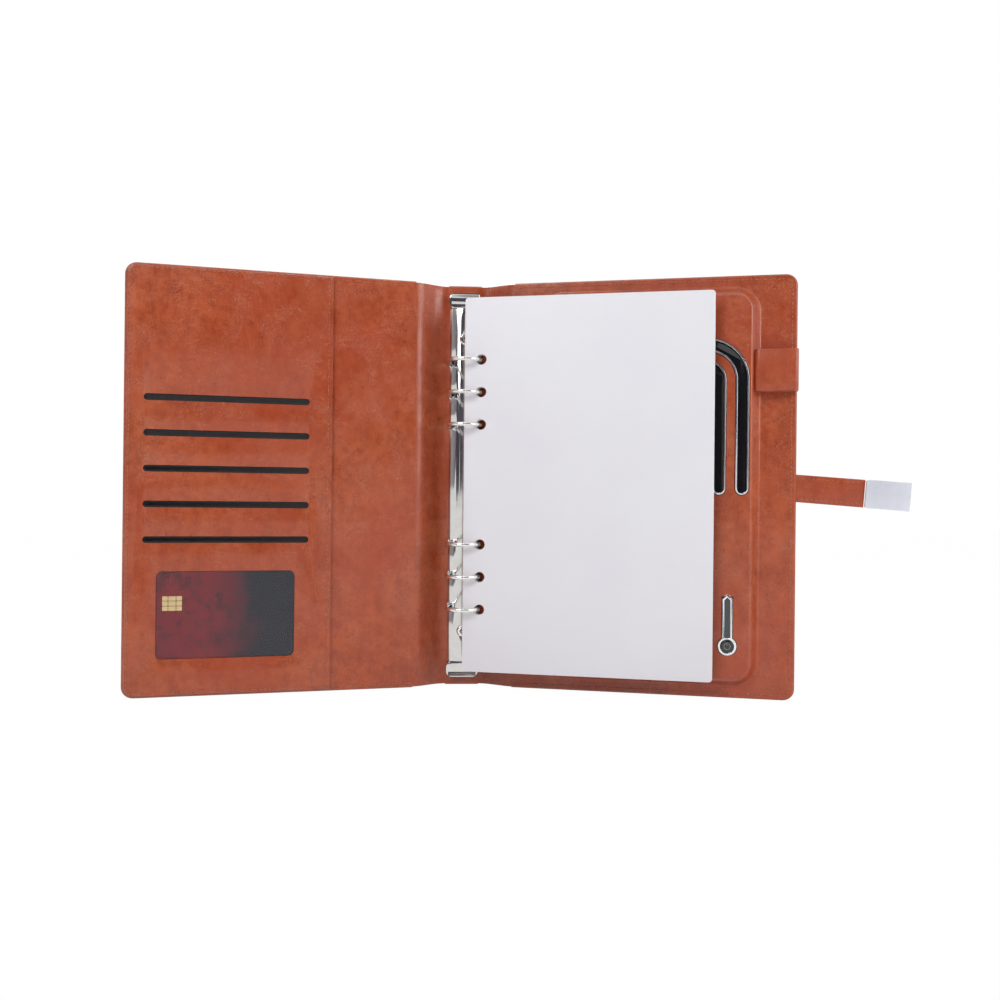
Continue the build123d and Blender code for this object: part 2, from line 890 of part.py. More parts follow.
def strap_tongue():
    """End of the strap leather held inside the clip."""
    half = clip_width / 2 - clip_sheet
    deep = clip_thickness / 2 - clip_sheet
    return strap_frame() * block(strap_length, strap_length + tongue_length, -half, half, -deep, deep)


def clip_magnet():
    """Magnet held in the clip behind the leather tongue."""
    start = strap_length + tongue_length + 0.6
    half = clip_magnet_width / 2
    deep = clip_thickness / 2 - clip_sheet
    end = start + clip_magnet_length
    return strap_frame() * block(start, end, -half, half, -deep, -deep + clip_magnet_thickness)


def keeper_plate():
    """Steel keeper let into the front board, where the clip lands."""
    left = -cover_width + keeper_from_edge
    low = strap_centre_height - 2.0 - keeper_height / 2
    back = -case_thickness + outer_leather + 0.02
    return block(left, left + keeper_width, low, low + keeper_height, back, back + keeper_thickness)


def front_board():
    """Board of the front cover with the pocket for the keeper plate."""
    left = -cover_width + keeper_from_edge - layer_gap
    low = strap_centre_height - 2.0 - keeper_height / 2 - layer_gap
    back = -case_thickness + outer_leather
    pocket = block(
        left, left + keeper_width + 2 * layer_gap, low, low + keeper_height + 2 * layer_gap,
        back - 1, back + keeper_thickness + 2 * layer_gap,
    )
    return cover_board(-1) - pocket


def formed_back_lining():
    """Back lining with the openings of the sockets cut through its sloping upper side."""
    sheet = back_lining()
    for cut in socket_cuts():
        sheet -= cut
    return sheet


def build_all():
    """Make every piece and write its file."""
    os.makedirs("parts", exist_ok=True)
    first_socket, second_socket = socket_centres()
    upper_levels = [level for level in ring_levels if level > book_height / 2]
    lower_levels = [level for level in ring_levels if level < book_height / 2]
    stack_back = page_lift - page_stack / 2
    stack_front = page_lift + page_stack / 2
    pieces = {
        "back_cover_leather": place(back_plane, cover_shell(1)),
        "back_cover_board": place(back_plane, back_board()),
        "back_cover_lining": place(back_plane, formed_back_lining()),
        "power_bank_tray": place(back_plane, power_bank_tray()),
        "power_bank_lid": place(back_plane, power_bank_lid()),
        "battery_cells": [place(back_plane, cell) for cell in battery_cells()],
        "circuit_board": place(back_plane, circuit_board()),
        "socket_board": place(back_plane, socket_board()),
        "usb_output_shell": place(
            back_plane, usb_shell(first_socket, usb_out_width, usb_out_thickness, usb_out_depth)
        ),
        "usb_output_tongue": place(back_plane, usb_tongue(
            first_socket, usb_out_tongue, usb_out_depth, usb_out_tongue_thickness, usb_out_thickness
        )),
        "usb_input_shell": place(
            back_plane, usb_shell(second_socket, usb_in_width, usb_in_thickness, usb_in_depth)
        ),
        "usb_input_tongue": place(back_plane, usb_tongue(
            second_socket, usb_in_tongue, usb_in_depth, usb_in_tongue_thickness, usb_in_thickness
        )),
        "cable_channel_outer": place(back_plane, cable_channel(channel_outer_radius)),
        "cable_channel_inner": place(back_plane, cable_channel(channel_inner_radius)),
        "channel_rim_outer": place(back_plane, channel_rim(channel_outer_radius)),
        "channel_rim_inner": place(back_plane, channel_rim(channel_inner_radius)),
        "indicator_bezel": place(back_plane, indicator_bezel()),
        "indicator_window": place(back_plane, indicator_window()),
        "charge_lights": place(back_plane, charge_lights()),
        "indicator_post": place(back_plane, indicator_post()),
        "power_button": place(back_plane, power_button()),
        "button_switch": place(back_plane, button_switch()),
        "pen_loop": place(back_plane, pen_loop()),
        "closure_strap": closure_strap(),
        "strap_clip": strap_clip(),
        "strap_tongue": strap_tongue(),
        "clip_magnet": clip_magnet(),
        "spine_leather": place(spine_plane, spine_shell()),
        "spine_board": place(spine_plane, spine_board()),
        "spine_lining": place(spine_plane, spine_lining()),
        "back_hinge_leather": hinge_leather(1),
        "back_hinge_lining": hinge_lining(1),
        "front_hinge_leather": hinge_leather(-1),
        "front_hinge_lining": hinge_lining(-1),
        "ring_rail": ring_rail(),
        "rail_rivets": rail_rivets(),
        "left_hinge_plate": hinge_plate(-1),
        "right_hinge_plate": hinge_plate(1),
        "left_half_rings_upper": ring_row(-1, upper_levels),
        "left_half_rings_lower": ring_row(-1, lower_levels),
        "right_half_rings_upper": ring_row(1, upper_levels),
        "right_half_rings_lower": ring_row(1, lower_levels),
        "top_lever": opener_lever(1),
        "bottom_lever": opener_lever(-1),
        "page_block": page_sheet(stack_back, stack_front),
        "notebook_front_sheet": page_sheet(
            stack_front + sheet_gap, stack_front + sheet_gap + cover_sheet_thickness
        ),
        "notebook_back_sheet": page_sheet(stack_back - cover_sheet_thickness, stack_back),
        "front_cover_leather": place(front_plane, cover_shell(-1)),
        "front_cover_board": place(front_plane, front_board()),
        "front_cover_lining": place(front_plane, flat_lining(-1)),
        "pocket_sheet": place(front_plane, pocket_sheet()),
        "slot_bindings": [place(front_plane, binding) for binding in slot_bindings()],
        "pocket_liner": place(front_plane, pocket_liner()),
        "window_film": place(front_plane, window_film()),
        "window_card": place(front_plane, window_card()),
        "keeper_plate": place(front_plane, keeper_plate()),
    }
    for name, shape in pieces.items():
        write(name, shape)


build_all()
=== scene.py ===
"""Looks of the ring notebook with a power bank in its back cover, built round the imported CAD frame."""
import json
import logging
import math
import random
from contextlib import contextmanager
from dataclasses import dataclass, field
from enum import Enum
from typing import Callable, Iterator, Optional, Sequence, Union

import bpy
from mathutils import Matrix, Vector

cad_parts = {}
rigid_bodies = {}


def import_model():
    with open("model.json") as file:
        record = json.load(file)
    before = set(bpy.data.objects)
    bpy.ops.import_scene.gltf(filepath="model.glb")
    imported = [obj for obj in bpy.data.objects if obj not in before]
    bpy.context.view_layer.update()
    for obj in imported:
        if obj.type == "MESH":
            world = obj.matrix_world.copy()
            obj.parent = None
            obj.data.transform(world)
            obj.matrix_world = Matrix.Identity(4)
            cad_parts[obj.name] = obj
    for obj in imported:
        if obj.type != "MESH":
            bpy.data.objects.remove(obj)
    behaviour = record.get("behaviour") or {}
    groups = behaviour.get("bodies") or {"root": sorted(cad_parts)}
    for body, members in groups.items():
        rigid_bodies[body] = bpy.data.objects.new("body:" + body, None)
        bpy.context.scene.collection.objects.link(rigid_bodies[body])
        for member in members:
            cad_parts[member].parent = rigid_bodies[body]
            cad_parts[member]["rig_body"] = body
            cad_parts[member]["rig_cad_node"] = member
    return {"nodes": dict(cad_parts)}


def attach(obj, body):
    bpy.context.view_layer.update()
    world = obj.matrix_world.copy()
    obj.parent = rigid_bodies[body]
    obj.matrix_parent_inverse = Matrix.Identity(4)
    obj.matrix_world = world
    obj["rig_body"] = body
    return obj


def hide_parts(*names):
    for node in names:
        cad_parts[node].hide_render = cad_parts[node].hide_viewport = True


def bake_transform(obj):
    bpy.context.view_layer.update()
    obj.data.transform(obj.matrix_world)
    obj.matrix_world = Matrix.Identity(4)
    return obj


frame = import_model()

log = logging.getLogger("notebook")
MM = 0.001
NEAR = 1e-3  # millimetres within which two places are the same
PLACED = 1e-2  # the same after a rounding or a cut
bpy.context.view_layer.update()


# Shader maths ---------------------------------------------------------------------------------
Value = Union["Sock", float, int]


def operator(kind: str, swapped: bool = False) -> Callable[..., "Sock"]:
    """Make a method that adds one Math node.

    Args:
        kind: the Math node's operation.
        swapped: puts the other value first, for a reflected form.

    Returns:
        The method.
    """
    def act(self: "Sock", other: Value = 0.0) -> "Sock":
        """Add the node."""
        values = [other, self] if swapped else [self, other]
        return self.shader.node("ShaderNodeMath", {"operation": kind}, values)
    return act


@dataclass
class Sock:
    """An output socket that can be used in plain arithmetic."""

    shader: "Shader"
    out: bpy.types.NodeSocket

    __add__, __radd__ = operator("ADD"), operator("ADD", True)
    __sub__, __rsub__ = operator("SUBTRACT"), operator("SUBTRACT", True)
    __mul__, __rmul__ = operator("MULTIPLY"), operator("MULTIPLY", True)
    __truediv__, __abs__ = operator("DIVIDE"), operator("ABSOLUTE")

    def above(self, limit: float, soft: float) -> "Sock":
        """Mask that goes smoothly from 0 to 1 round a limit.

        Args:
            limit: value at which the mask is one half.
            soft: half of the width of the change.

        Returns:
            A value from 0 to 1.
        """
        ends = {0: self, 1: limit - soft, 2: limit + soft}
        return self.shader.node("ShaderNodeMapRange", {"interpolation_type": "SMOOTHSTEP"}, ends)


class Shader:
    """A node tree of a material or a world that is built by calls instead of by hand."""

    def __init__(self, name: str, world: bool = False) -> None:
        """Start an empty tree.

        Args:
            name: the material's or the world's name.
            world: makes a world instead of a material.
        """
        self.made = (bpy.data.worlds if world else bpy.data.materials).new(name)
        self.made.use_nodes = True
        self.tree = self.made.node_tree
        self.tree.nodes.clear()
        self._coords: Optional[Sock] = None

    def node(self, kind: str, settings: dict, inputs: Union[dict, Sequence],
             output: Union[int, str] = 0) -> Sock:
        """Add a node.

        Args:
            kind: the node's type.
            settings: properties that are set first; the key "stops" holds a ramp's stops.
            inputs: values or links by socket, or in the order of the sockets.
            output: which output is returned.

        Returns:
            The wrapped output.
        """
        made = self.tree.nodes.new(kind)
        for key, value in settings.items():
            if key == "stops":
                ramp = made.color_ramp
                while len(ramp.elements) < len(value):
                    ramp.elements.new(0.5)
                for element, (place, colour) in zip(ramp.elements, value):
                    element.position, element.color = place, colour
            else:
                setattr(made, key, value)
        pairs = inputs.items() if isinstance(inputs, dict) else enumerate(inputs)
        for key, value in pairs:
            if isinstance(value, Sock):
                self.tree.links.new(value.out, made.inputs[key])
            else:
                made.inputs[key].default_value = value
        return Sock(self, made.outputs[output])

    def coords(self) -> Sock:
        """Object coordinates, in metres in the shared frame."""
        if self._coords is None:
            self._coords = self.node("ShaderNodeTexCoord", {}, {}, "Object")
        return self._coords

    def along(self, direction: Sequence[float], origin: Sequence[float]) -> Sock:
        """Distance in millimetres from a point along a direction."""
        kind = "ShaderNodeVectorMath"
        shifted = self.node(kind, {"operation": "SUBTRACT"}, [self.coords(), tuple(origin)])
        turned = self.node(kind, {"operation": "DOT_PRODUCT"}, [shifted, tuple(direction)], "Value")
        return turned * 1000.0

    def noise(self, size: float, detail: float = 2.0, stretch: Sequence[float] = (1, 1, 1),
              rough: float = 0.5) -> Sock:
        """Noise value.

        Args:
            size: size of the pattern in millimetres.
            detail: octaves.
            stretch: factor of the pattern's frequency on each axis.
            rough: share of the finer octaves.

        Returns:
            A value from 0 to 1.
        """
        where = self.coords()
        if tuple(stretch) != (1, 1, 1):
            where = self.node("ShaderNodeVectorMath", {"operation": "MULTIPLY"}, [where, tuple(stretch)])
        inputs = {"Vector": where, "Scale": 1000.0 / size, "Detail": detail, "Roughness": rough}
        return self.node("ShaderNodeTexNoise", {}, inputs)

    def cells(self, size: float, feature: str = "F1") -> Sock:
        """Distance value of a cell pattern; size is in millimetres."""
        inputs = {"Vector": self.coords(), "Scale": 1000.0 / size}
        return self.node("ShaderNodeTexVoronoi", {"feature": feature}, inputs, "Distance")

    def mix(self, share: Value, first: Union[Sock, Sequence], second: Union[Sock, Sequence]) -> Sock:
        """Blend two colours by a share."""
        return self.node("ShaderNodeMix", {"data_type": "RGBA"}, {0: share, 6: first, 7: second}, 2)

    def bump(self, height: Sock, depth: float) -> Sock:
        """Normal bent by a height; depth is in millimetres."""
        return self.node("ShaderNodeBump", {}, {"Strength": 1.0, "Distance": depth * MM, "Height": height})

    def seen(self) -> Sock:
        """Share that is 1 for the rays to which the surroundings are plain white."""
        rays = ("Is Camera Ray", "Is Glossy Ray", "Is Transmission Ray")
        camera, mirrored, through = (self.node("ShaderNodeLightPath", {}, {}, ray) for ray in rays)
        return camera + mirrored + through

    def close(self, shader: Sock, kind: str = "Material") -> Union[bpy.types.Material, bpy.types.World]:
        """Link the last shader to the output.

        Args:
            shader: the last shader.
            kind: Material or World.

        Returns:
            The finished material or world.
        """
        end = self.tree.nodes.new(f"ShaderNodeOutput{kind}")
        self.tree.links.new(shader.out, end.inputs["Surface"])
        return self.made

    def surface(self, inputs: dict) -> bpy.types.Material:
        """Close the material with a Principled shader, from values or links of its sockets."""
        return self.close(self.node("ShaderNodeBsdfPrincipled", {}, inputs))


def rgb(red: float, green: float, blue: float) -> tuple:
    """Linear colour from the values 0 to 255 that a picture shows."""
    def linear(value: float) -> float:
        """One channel."""
        share = value / 255
        return share / 12.92 if share <= 0.04045 else ((share + 0.055) / 1.055) ** 2.4
    return (linear(red), linear(green), linear(blue), 1.0)


# Finishes -------------------------------------------------------------------------------------
@dataclass(frozen=True)
class LeatherFinish:
    """Pull-up artificial leather: smooth, with a wax-like coat, soft clouds, pale patches of painted sheen,
    fine pores and crease lines.
    """

    name: str
    light: tuple = rgb(192, 88, 44)
    deep: tuple = rgb(158, 62, 24)
    red: tuple = rgb(174, 70, 38)
    # Pale tone of the painted sheen patches and of the pale worn creases.
    pale_sheen_and_wear: tuple = rgb(204, 124, 90)
    rough: float = 0.34
    crease: float = 0.1

    def material(self) -> bpy.types.Material:
        """Build the material."""
        s = Shader(self.name)
        clouds = s.noise(30, 4.0, rough=0.6)
        mottle = s.noise(5, 4.0, rough=0.65)
        streaks = s.noise(11, 3.0, stretch=(1.6, 1.6, 0.45), rough=0.7)
        tone = (clouds * 0.25 + mottle * 0.45 + streaks * 0.3).above(0.5, 0.14)
        colour = s.mix(tone, self.deep, self.light)
        warm = s.noise(60, 2.0).above(0.52, 0.12)
        colour = s.mix(warm * 0.6, colour, self.red)
        # Painted sheen: pale random patches laid into the colour as highlights, with slightly lower roughness
        # there.
        sheen_patch = s.noise(42, 5.0, rough=0.72).above(0.57, 0.1)
        colour = s.mix(sheen_patch * 0.22, colour, self.pale_sheen_and_wear)
        pores = s.cells(0.55)
        grain = s.noise(0.5, 3.0, rough=0.7)
        creases = abs(s.noise(9, 4.0, stretch=(1.0, 1.0, 1.7), rough=0.6) - 0.5)
        fine_creases = s.cells(1.7, "DISTANCE_TO_EDGE")
        where = s.noise(15, 2.0).above(0.52, 0.08)
        elsewhere = s.noise(19, 3.0).above(0.5, 0.1)
        worn = (1 - creases.above(0.007, 0.007)) * where
        fine_lines = (1 - fine_creases.above(0.035, 0.035)) * elsewhere
        # Pale worn creases, drawn in the same pale tone as the painted sheen.
        colour = s.mix(worn * 0.42 + fine_lines * 0.2, colour, self.pale_sheen_and_wear)
        speck = s.noise(1.1, 3.0, rough=0.8).above(0.68, 0.05)
        colour = s.mix(speck * 0.3, colour, self.deep)
        height = pores * 0.2 + grain * 0.35 + mottle * 0.9 - worn * 0.6 - fine_lines * 0.4
        rough = self.rough + (mottle - 0.5) * 0.3 + (clouds - 0.5) * 0.2 + worn * 0.1 - sheen_patch * 0.05
        return s.surface({
            "Base Color": colour, "Roughness": rough, "Normal": s.bump(height, self.crease),
            "Specular IOR Level": 0.5, "Coat Weight": 0.3, "Coat Roughness": 0.15,
        })


@dataclass(frozen=True)
class ThreadFinish:
    """Twisted sewing thread."""

    name: str = "sewing_thread"
    colour: tuple = rgb(204, 130, 94)
    shade: tuple = rgb(142, 68, 44)

    def material(self) -> bpy.types.Material:
        """Build the material."""
        s = Shader(self.name)
        ply = s.noise(0.35, 2.0)
        tone = s.mix(ply.above(0.5, 0.2), self.shade, self.colour)
        return s.surface({"Base Color": tone, "Roughness": 0.62 + (ply - 0.5) * 0.2,
                          "Normal": s.bump(ply, 0.08), "Sheen Weight": 0.3})


@dataclass(frozen=True)
class MetalFinish:
    """Plated or brushed metal with faint hairlines and handling marks."""

    name: str
    colour: tuple = (0.78, 0.77, 0.75, 1.0)
    rough: float = 0.12
    hair: float = 0.004
    stretch: tuple = (1.0, 1.0, 0.05)

    def material(self) -> bpy.types.Material:
        """Build the material."""
        s = Shader(self.name)
        hairs = s.noise(0.35, 3.0, stretch=self.stretch)
        marks = s.noise(7, 4.0, rough=0.7)
        dull = tuple(channel * 0.86 for channel in self.colour[:3]) + (1.0,)
        tone = s.mix(marks.above(0.55, 0.2) * 0.6, self.colour, dull)
        rough = self.rough + (marks - 0.5) * 0.1 + (hairs - 0.5) * 0.06
        return s.surface({"Base Color": tone, "Metallic": 1.0, "Roughness": rough,
                          "Normal": s.bump(hairs, self.hair)})


@dataclass(frozen=True)
class PlasticFinish:
    """Moulded plastic, from glossy to softly eroded."""

    name: str
    colour: tuple = rgb(26, 26, 29)
    rough: float = 0.25
    texture: float = 0.01
    coat: float = 0.0

    def material(self) -> bpy.types.Material:
        """Build the material."""
        s = Shader(self.name)
        erosion = s.noise(0.3, 2.0)
        smears = s.noise(9, 3.0, rough=0.6)
        lift = tuple(min(1.0, channel * 1.35 + 0.004) for channel in self.colour[:3]) + (1.0,)
        tone = s.mix(smears.above(0.5, 0.25) * 0.5, self.colour, lift)
        return s.surface({"Base Color": tone, "Roughness": self.rough + (smears - 0.5) * 0.12,
                          "Normal": s.bump(erosion, self.texture), "Coat Weight": self.coat,
                          "Coat Roughness": 0.08})


@dataclass(frozen=True)
class PaperFinish:
    """Paper or card with fine fibres; with sheet set, the stack's edges show single sheets with painted shade
    in the gaps between them.
    """

    name: str
    colour: tuple = rgb(232, 230, 232)
    shade: tuple = rgb(222, 220, 224)
    rough: float = 0.55
    coat: float = 0.0
    lean: tuple = (0.0, 1.0, 0.0)
    sheet: float = 0.0

    def material(self) -> bpy.types.Material:
        """Build the material."""
        s = Shader(self.name)
        fibre = s.noise(0.6, 4.0, rough=0.75)
        patch = s.noise(45, 3.0)
        tone = s.mix(patch.above(0.5, 0.2) * 0.6 + fibre * 0.25, self.colour, self.shade)
        height = fibre
        if self.sheet:
            level = s.along(self.lean, (0, 0, 0)) / self.sheet
            line = s.node("ShaderNodeMath", {"operation": "FRACT"}, [level])
            line = abs(line - 0.5).above(0.34, 0.1)
            jitter = s.noise(1.4, 2.0)
            # Painted shade: dark lines in the gaps between single sheets.
            tone = s.mix(line * (0.35 + jitter * 0.4), tone, rgb(176, 170, 160))
            height = fibre * 0.2 - line
        return s.surface({"Base Color": tone, "Roughness": self.rough + (fibre - 0.5) * 0.1,
                          "Normal": s.bump(height, 0.02 if not self.sheet else 0.06),
                          "Coat Weight": self.coat, "Coat Roughness": 0.3})


@dataclass(frozen=True)
class CardFinish:
    """Glossy card whose ground goes from a dark red cloud to dark blue."""

    name: str = "card_print"

    def material(self) -> bpy.types.Material:
        """Build the material."""
        s = Shader(self.name)
        clouds = s.noise(26, 3.0, rough=0.55)
        swirl = s.noise(9, 4.0, rough=0.6)
        side = s.along((1.0, 0.0, 0.0), (-0.132, 0.0, 0.0)) + (clouds - 0.5) * 40
        tone = s.mix(side.above(0.0, 20.0), rgb(140, 20, 34), rgb(24, 26, 42))
        tone = s.mix(swirl.above(0.56, 0.08) * 0.6, tone, rgb(44, 18, 34))
        return s.surface({"Base Color": tone, "Roughness": 0.3 + (swirl - 0.5) * 0.1,
                          "Normal": s.bump(s.noise(0.5, 2.0), 0.004), "Coat Weight": 0.5,
                          "Coat Roughness": 0.06})


@dataclass(frozen=True)
class FilmFinish:
    """Clear film or smoked window that shows what lies behind it."""

    name: str
    tint: tuple = (0.9, 0.93, 0.97, 1.0)
    cover: float = 0.1
    rough: float = 0.08
    ripple: float = 0.12

    def material(self) -> bpy.types.Material:
        """Build the material."""
        s = Shader(self.name)
        waves = s.noise(14, 2.0)
        scuffs = s.noise(2.2, 4.0, rough=0.7)
        veil = self.cover + scuffs.above(0.6, 0.12) * 0.05
        return s.surface({"Base Color": self.tint, "Roughness": self.rough + scuffs * 0.05, "Alpha": veil,
                          "Normal": s.bump(waves, self.ripple), "Specular IOR Level": 0.8,
                          "Coat Weight": 1.0, "Coat Roughness": 0.05})


@dataclass(frozen=True)
class FabricFinish:
    """Black woven tape."""

    name: str = "binding_tape"
    colour: tuple = rgb(20, 17, 18)

    def material(self) -> bpy.types.Material:
        """Build the material."""
        s = Shader(self.name)
        threads = {"Vector": s.coords(), "Scale": 900.0}
        warp, weft = (s.node("ShaderNodeTexWave", {"bands_direction": way}, threads) for way in "XZ")
        weave = warp * weft
        tone = s.mix(weave * 0.5, self.colour, rgb(42, 37, 38))
        return s.surface({"Base Color": tone, "Roughness": 0.6 + weave * 0.15, "Normal": s.bump(weave, 0.05),
                          "Sheen Weight": 0.25})


class Finish(Enum):
    """Every finish of the object, built once."""

    CASE = LeatherFinish("case_leather", rough=0.36)
    LINING = LeatherFinish("lining_leather")
    THREAD = ThreadFinish()
    RAIL = MetalFinish("rail_steel", (0.66, 0.65, 0.63, 1.0), 0.11)
    RING = MetalFinish("ring_steel", (0.82, 0.81, 0.79, 1.0), 0.08, 0.001)
    TRIM = MetalFinish("bright_trim", (0.86, 0.86, 0.88, 1.0), 0.14, 0.001)
    CLIP = MetalFinish("clip_metal", (0.86, 0.88, 0.95, 1.0), 0.5, 0.004, (0.05, 1.0, 1.0))
    SOCKET = MetalFinish("socket_steel", (0.6, 0.6, 0.62, 1.0), 0.28)
    NICKEL = MetalFinish("magnet_nickel", (0.62, 0.61, 0.6, 1.0), 0.16)
    GLOSS = PlasticFinish("black_gloss", rgb(18, 18, 21), 0.12, 0.002, 0.6)
    BODY = PlasticFinish("dark_plastic", rgb(34, 34, 38), 0.45, 0.02)
    BOARD = PlasticFinish("board_green", rgb(20, 92, 52), 0.35, 0.01, 0.3)
    GREY_BOARD = PaperFinish("grey_board", rgb(150, 146, 138), rgb(122, 118, 110), 0.8)
    CELL = MetalFinish("cell_foil", (0.75, 0.75, 0.77, 1.0), 0.3, 0.01)
    SHEET = PaperFinish("smooth_sheet", rgb(246, 246, 249), rgb(243, 242, 248), 0.5, 0.15)
    STACK = PaperFinish("page_paper", rgb(240, 238, 232), rgb(232, 229, 222), 0.7)
    CARD = CardFinish()
    FILM = FilmFinish("clear_film", rgb(26, 28, 36), 0.07, 0.06, 0.06)
    SMOKED = FilmFinish("smoked_window", rgb(22, 40, 48), 0.72, 0.06, 0.01)
    FABRIC = FabricFinish()
    GOLD = MetalFinish("chip_gold", (0.85, 0.66, 0.34, 1.0), 0.25, 0.002)
    MARK = PlasticFinish("button_mark", rgb(150, 156, 160), 0.4)
    LIGHT = PlasticFinish("light_lens", rgb(96, 128, 140), 0.2, 0.002, 0.3)

    def made(self) -> bpy.types.Material:
        """The finish's material, built on first use."""
        title = f"{self.value.name}_finish"
        found = bpy.data.materials.get(title)
        if found is None:
            found = self.value.material()
            found.name = title
        return found


# Modelling moves ------------------------------------------------------------------------------
EdgeTest = Callable[[Vector, Vector], bool]


@dataclass(frozen=True)
class Panel:
    """Flat frame of a panel in millimetres: right along it, up, and towards the reader."""

    origin: tuple
    tilt: float

    def right(self) -> Vector:
        """Direction to the right in the panel."""
        angle = math.radians(self.tilt)
        return Vector((math.cos(angle), -math.sin(angle), 0))

    def reader(self) -> Vector:
        """Direction to the reader."""
        angle = math.radians(self.tilt)
        return Vector((-math.sin(angle), -math.cos(angle), 0))

    def matrix(self) -> Matrix:
        """Matrix from the panel's frame, in metres, to the shared frame."""
        right, reader = self.right(), self.reader()
        rows = [(right[i], (0, 0, 1)[i], reader[i], self.origin[i] * MM) for i in range(3)]
        return Matrix((*rows, (0, 0, 0, 1)))


class Bench:
    """Moves of the modelling bench; every size is in millimetres and pieces are made in a panel's frame."""

    @staticmethod
    def clear() -> None:
        """Leave edit mode and deselect everything."""
        if bpy.context.object and bpy.context.object.mode != "OBJECT":
            bpy.ops.object.mode_set(mode="OBJECT")
        bpy.ops.object.select_all(action="DESELECT")

    @staticmethod
    def hold(piece: bpy.types.Object) -> bpy.types.Object:
        """Select one piece only and make it active."""
        Bench.clear()
        piece.select_set(True)
        bpy.context.view_layer.objects.active = piece
        return piece

    @staticmethod
    def settle(piece: bpy.types.Object) -> None:
        """Put the object's place, turn and size into its mesh."""
        Bench.hold(piece)
        bpy.ops.object.transform_apply(location=True, rotation=True, scale=True)

    @staticmethod
    @contextmanager
    def editing(piece: bpy.types.Object, action: str = "SELECT") -> Iterator[None]:
        """Hold a piece in edit mode, and put it back in object mode.

        Args:
            piece: the piece.
            action: SELECT or DESELECT, done to the whole mesh first.

        Yields:
            Nothing.
        """
        Bench.hold(piece)
        bpy.ops.object.mode_set(mode="EDIT")
        bpy.ops.mesh.select_all(action=action)
        yield
        bpy.ops.object.mode_set(mode="OBJECT")

    @staticmethod
    def block(name: str, low: Sequence[float], high: Sequence[float]) -> bpy.types.Object:
        """Cube primitive at its size and place.

        Args:
            name: the piece's name.
            low: lowest corner.
            high: highest corner.

        Returns:
            The new object.
        """
        Bench.clear()
        middle = [(a + b) / 2 * MM for a, b in zip(low, high)]
        bpy.ops.mesh.primitive_cube_add(size=1.0, location=middle)
        piece = bpy.context.object
        piece.name = name
        piece.scale = [(b - a) * MM for a, b in zip(low, high)]
        Bench.settle(piece)
        return piece

    @staticmethod
    def rod(name: str, centre: Sequence[float], radius: float, length: float,
            sides: int = 40) -> bpy.types.Object:
        """Cylinder primitive that stands towards the reader."""
        Bench.clear()
        bpy.ops.mesh.primitive_cylinder_add(
            vertices=sides, radius=radius * MM, depth=length * MM, location=[c * MM for c in centre]
        )
        piece = bpy.context.object
        piece.name = name
        Bench.settle(piece)
        return piece

    @staticmethod
    def select_edges(piece: bpy.types.Object, test: EdgeTest) -> int:
        """Select edges by the places of their two ends, in millimetres, and enter edit mode.

        Args:
            piece: the piece.
            test: says whether an edge is wanted.

        Returns:
            The number of edges selected.
        """
        with Bench.editing(piece, "DESELECT"):
            bpy.ops.mesh.select_mode(type="EDGE")
        points = [v.co / MM for v in piece.data.vertices]
        count = 0
        for edge in piece.data.edges:
            if test(points[edge.vertices[0]], points[edge.vertices[1]]):
                edge.select = True
                count += 1
        bpy.ops.object.mode_set(mode="EDIT")
        return count

    @staticmethod
    def bevel(piece: bpy.types.Object, test: EdgeTest, width: float, segments: int = 4) -> None:
        """Round the chosen edges."""
        if Bench.select_edges(piece, test):
            bpy.ops.mesh.bevel(
                offset=width * MM, offset_type="OFFSET", segments=segments, affect="EDGES", profile=0.5
            )
        Bench.clear()

    @staticmethod
    def upright_at(across: Optional[float] = None) -> EdgeTest:
        """Test for edges that stand along the panel's normal, at one place across or anywhere."""
        def test(a: Vector, b: Vector) -> bool:
            """Whether the edge is wanted."""
            level = abs(a.x - b.x) < NEAR and abs(a.y - b.y) < NEAR
            return level and (across is None or abs(a.x - across) < PLACED)
        return test

    @staticmethod
    def rim_at(out: float, skip_across: Optional[float] = None, level: bool = False) -> EdgeTest:
        """Test for edges that lie at one level.

        Args:
            out: the level.
            skip_across: place across of a side that is left out.
            level: takes only edges that run across.

        Returns:
            The test.
        """
        def test(a: Vector, b: Vector) -> bool:
            """Whether the edge is wanted."""
            here = abs(a.z - out) < NEAR and abs(b.z - out) < NEAR
            if level:
                here = here and abs(a.y - b.y) < NEAR
            if skip_across is None or not here:
                return here
            return not (abs(a.x - skip_across) < PLACED and abs(b.x - skip_across) < PLACED)
        return test

    @staticmethod
    def both(point_test: Callable[[Vector], bool]) -> EdgeTest:
        """Test for edges whose two ends both pass a test."""
        return lambda a, b: point_test(a) and point_test(b)

    @staticmethod
    def running_up(above: float) -> EdgeTest:
        """Test for edges that run up the panel, above a level."""
        def test(a: Vector, b: Vector) -> bool:
            """Whether the edge is wanted."""
            return abs(a.x - b.x) < NEAR and abs(a.z - b.z) < NEAR and a.z > above
        return test

    @staticmethod
    def apply(piece: bpy.types.Object, kind: str, settings: dict) -> None:
        """Add a modifier and apply it."""
        Bench.hold(piece)
        bpy.ops.object.modifier_add(type=kind)
        modifier = piece.modifiers[-1]
        for key, value in settings.items():
            setattr(modifier, key, value)
        bpy.ops.object.modifier_apply(modifier=modifier.name)

    @staticmethod
    def ease(piece: bpy.types.Object, width: float, segments: int, limit: float) -> None:
        """Round every edge sharper than a limit in degrees."""
        Bench.apply(piece, "BEVEL", {
            "width": width * MM, "segments": segments, "limit_method": "ANGLE",
            "angle_limit": math.radians(limit), "use_clamp_overlap": True,
        })

    @staticmethod
    def join_shape(piece: bpy.types.Object, other: bpy.types.Object, operation: str = "DIFFERENCE") -> None:
        """Cut or unite with another shape, which is used up."""
        Bench.apply(piece, "BOOLEAN", {"operation": operation, "solver": "EXACT", "object": other})
        bpy.data.objects.remove(other, do_unlink=True)

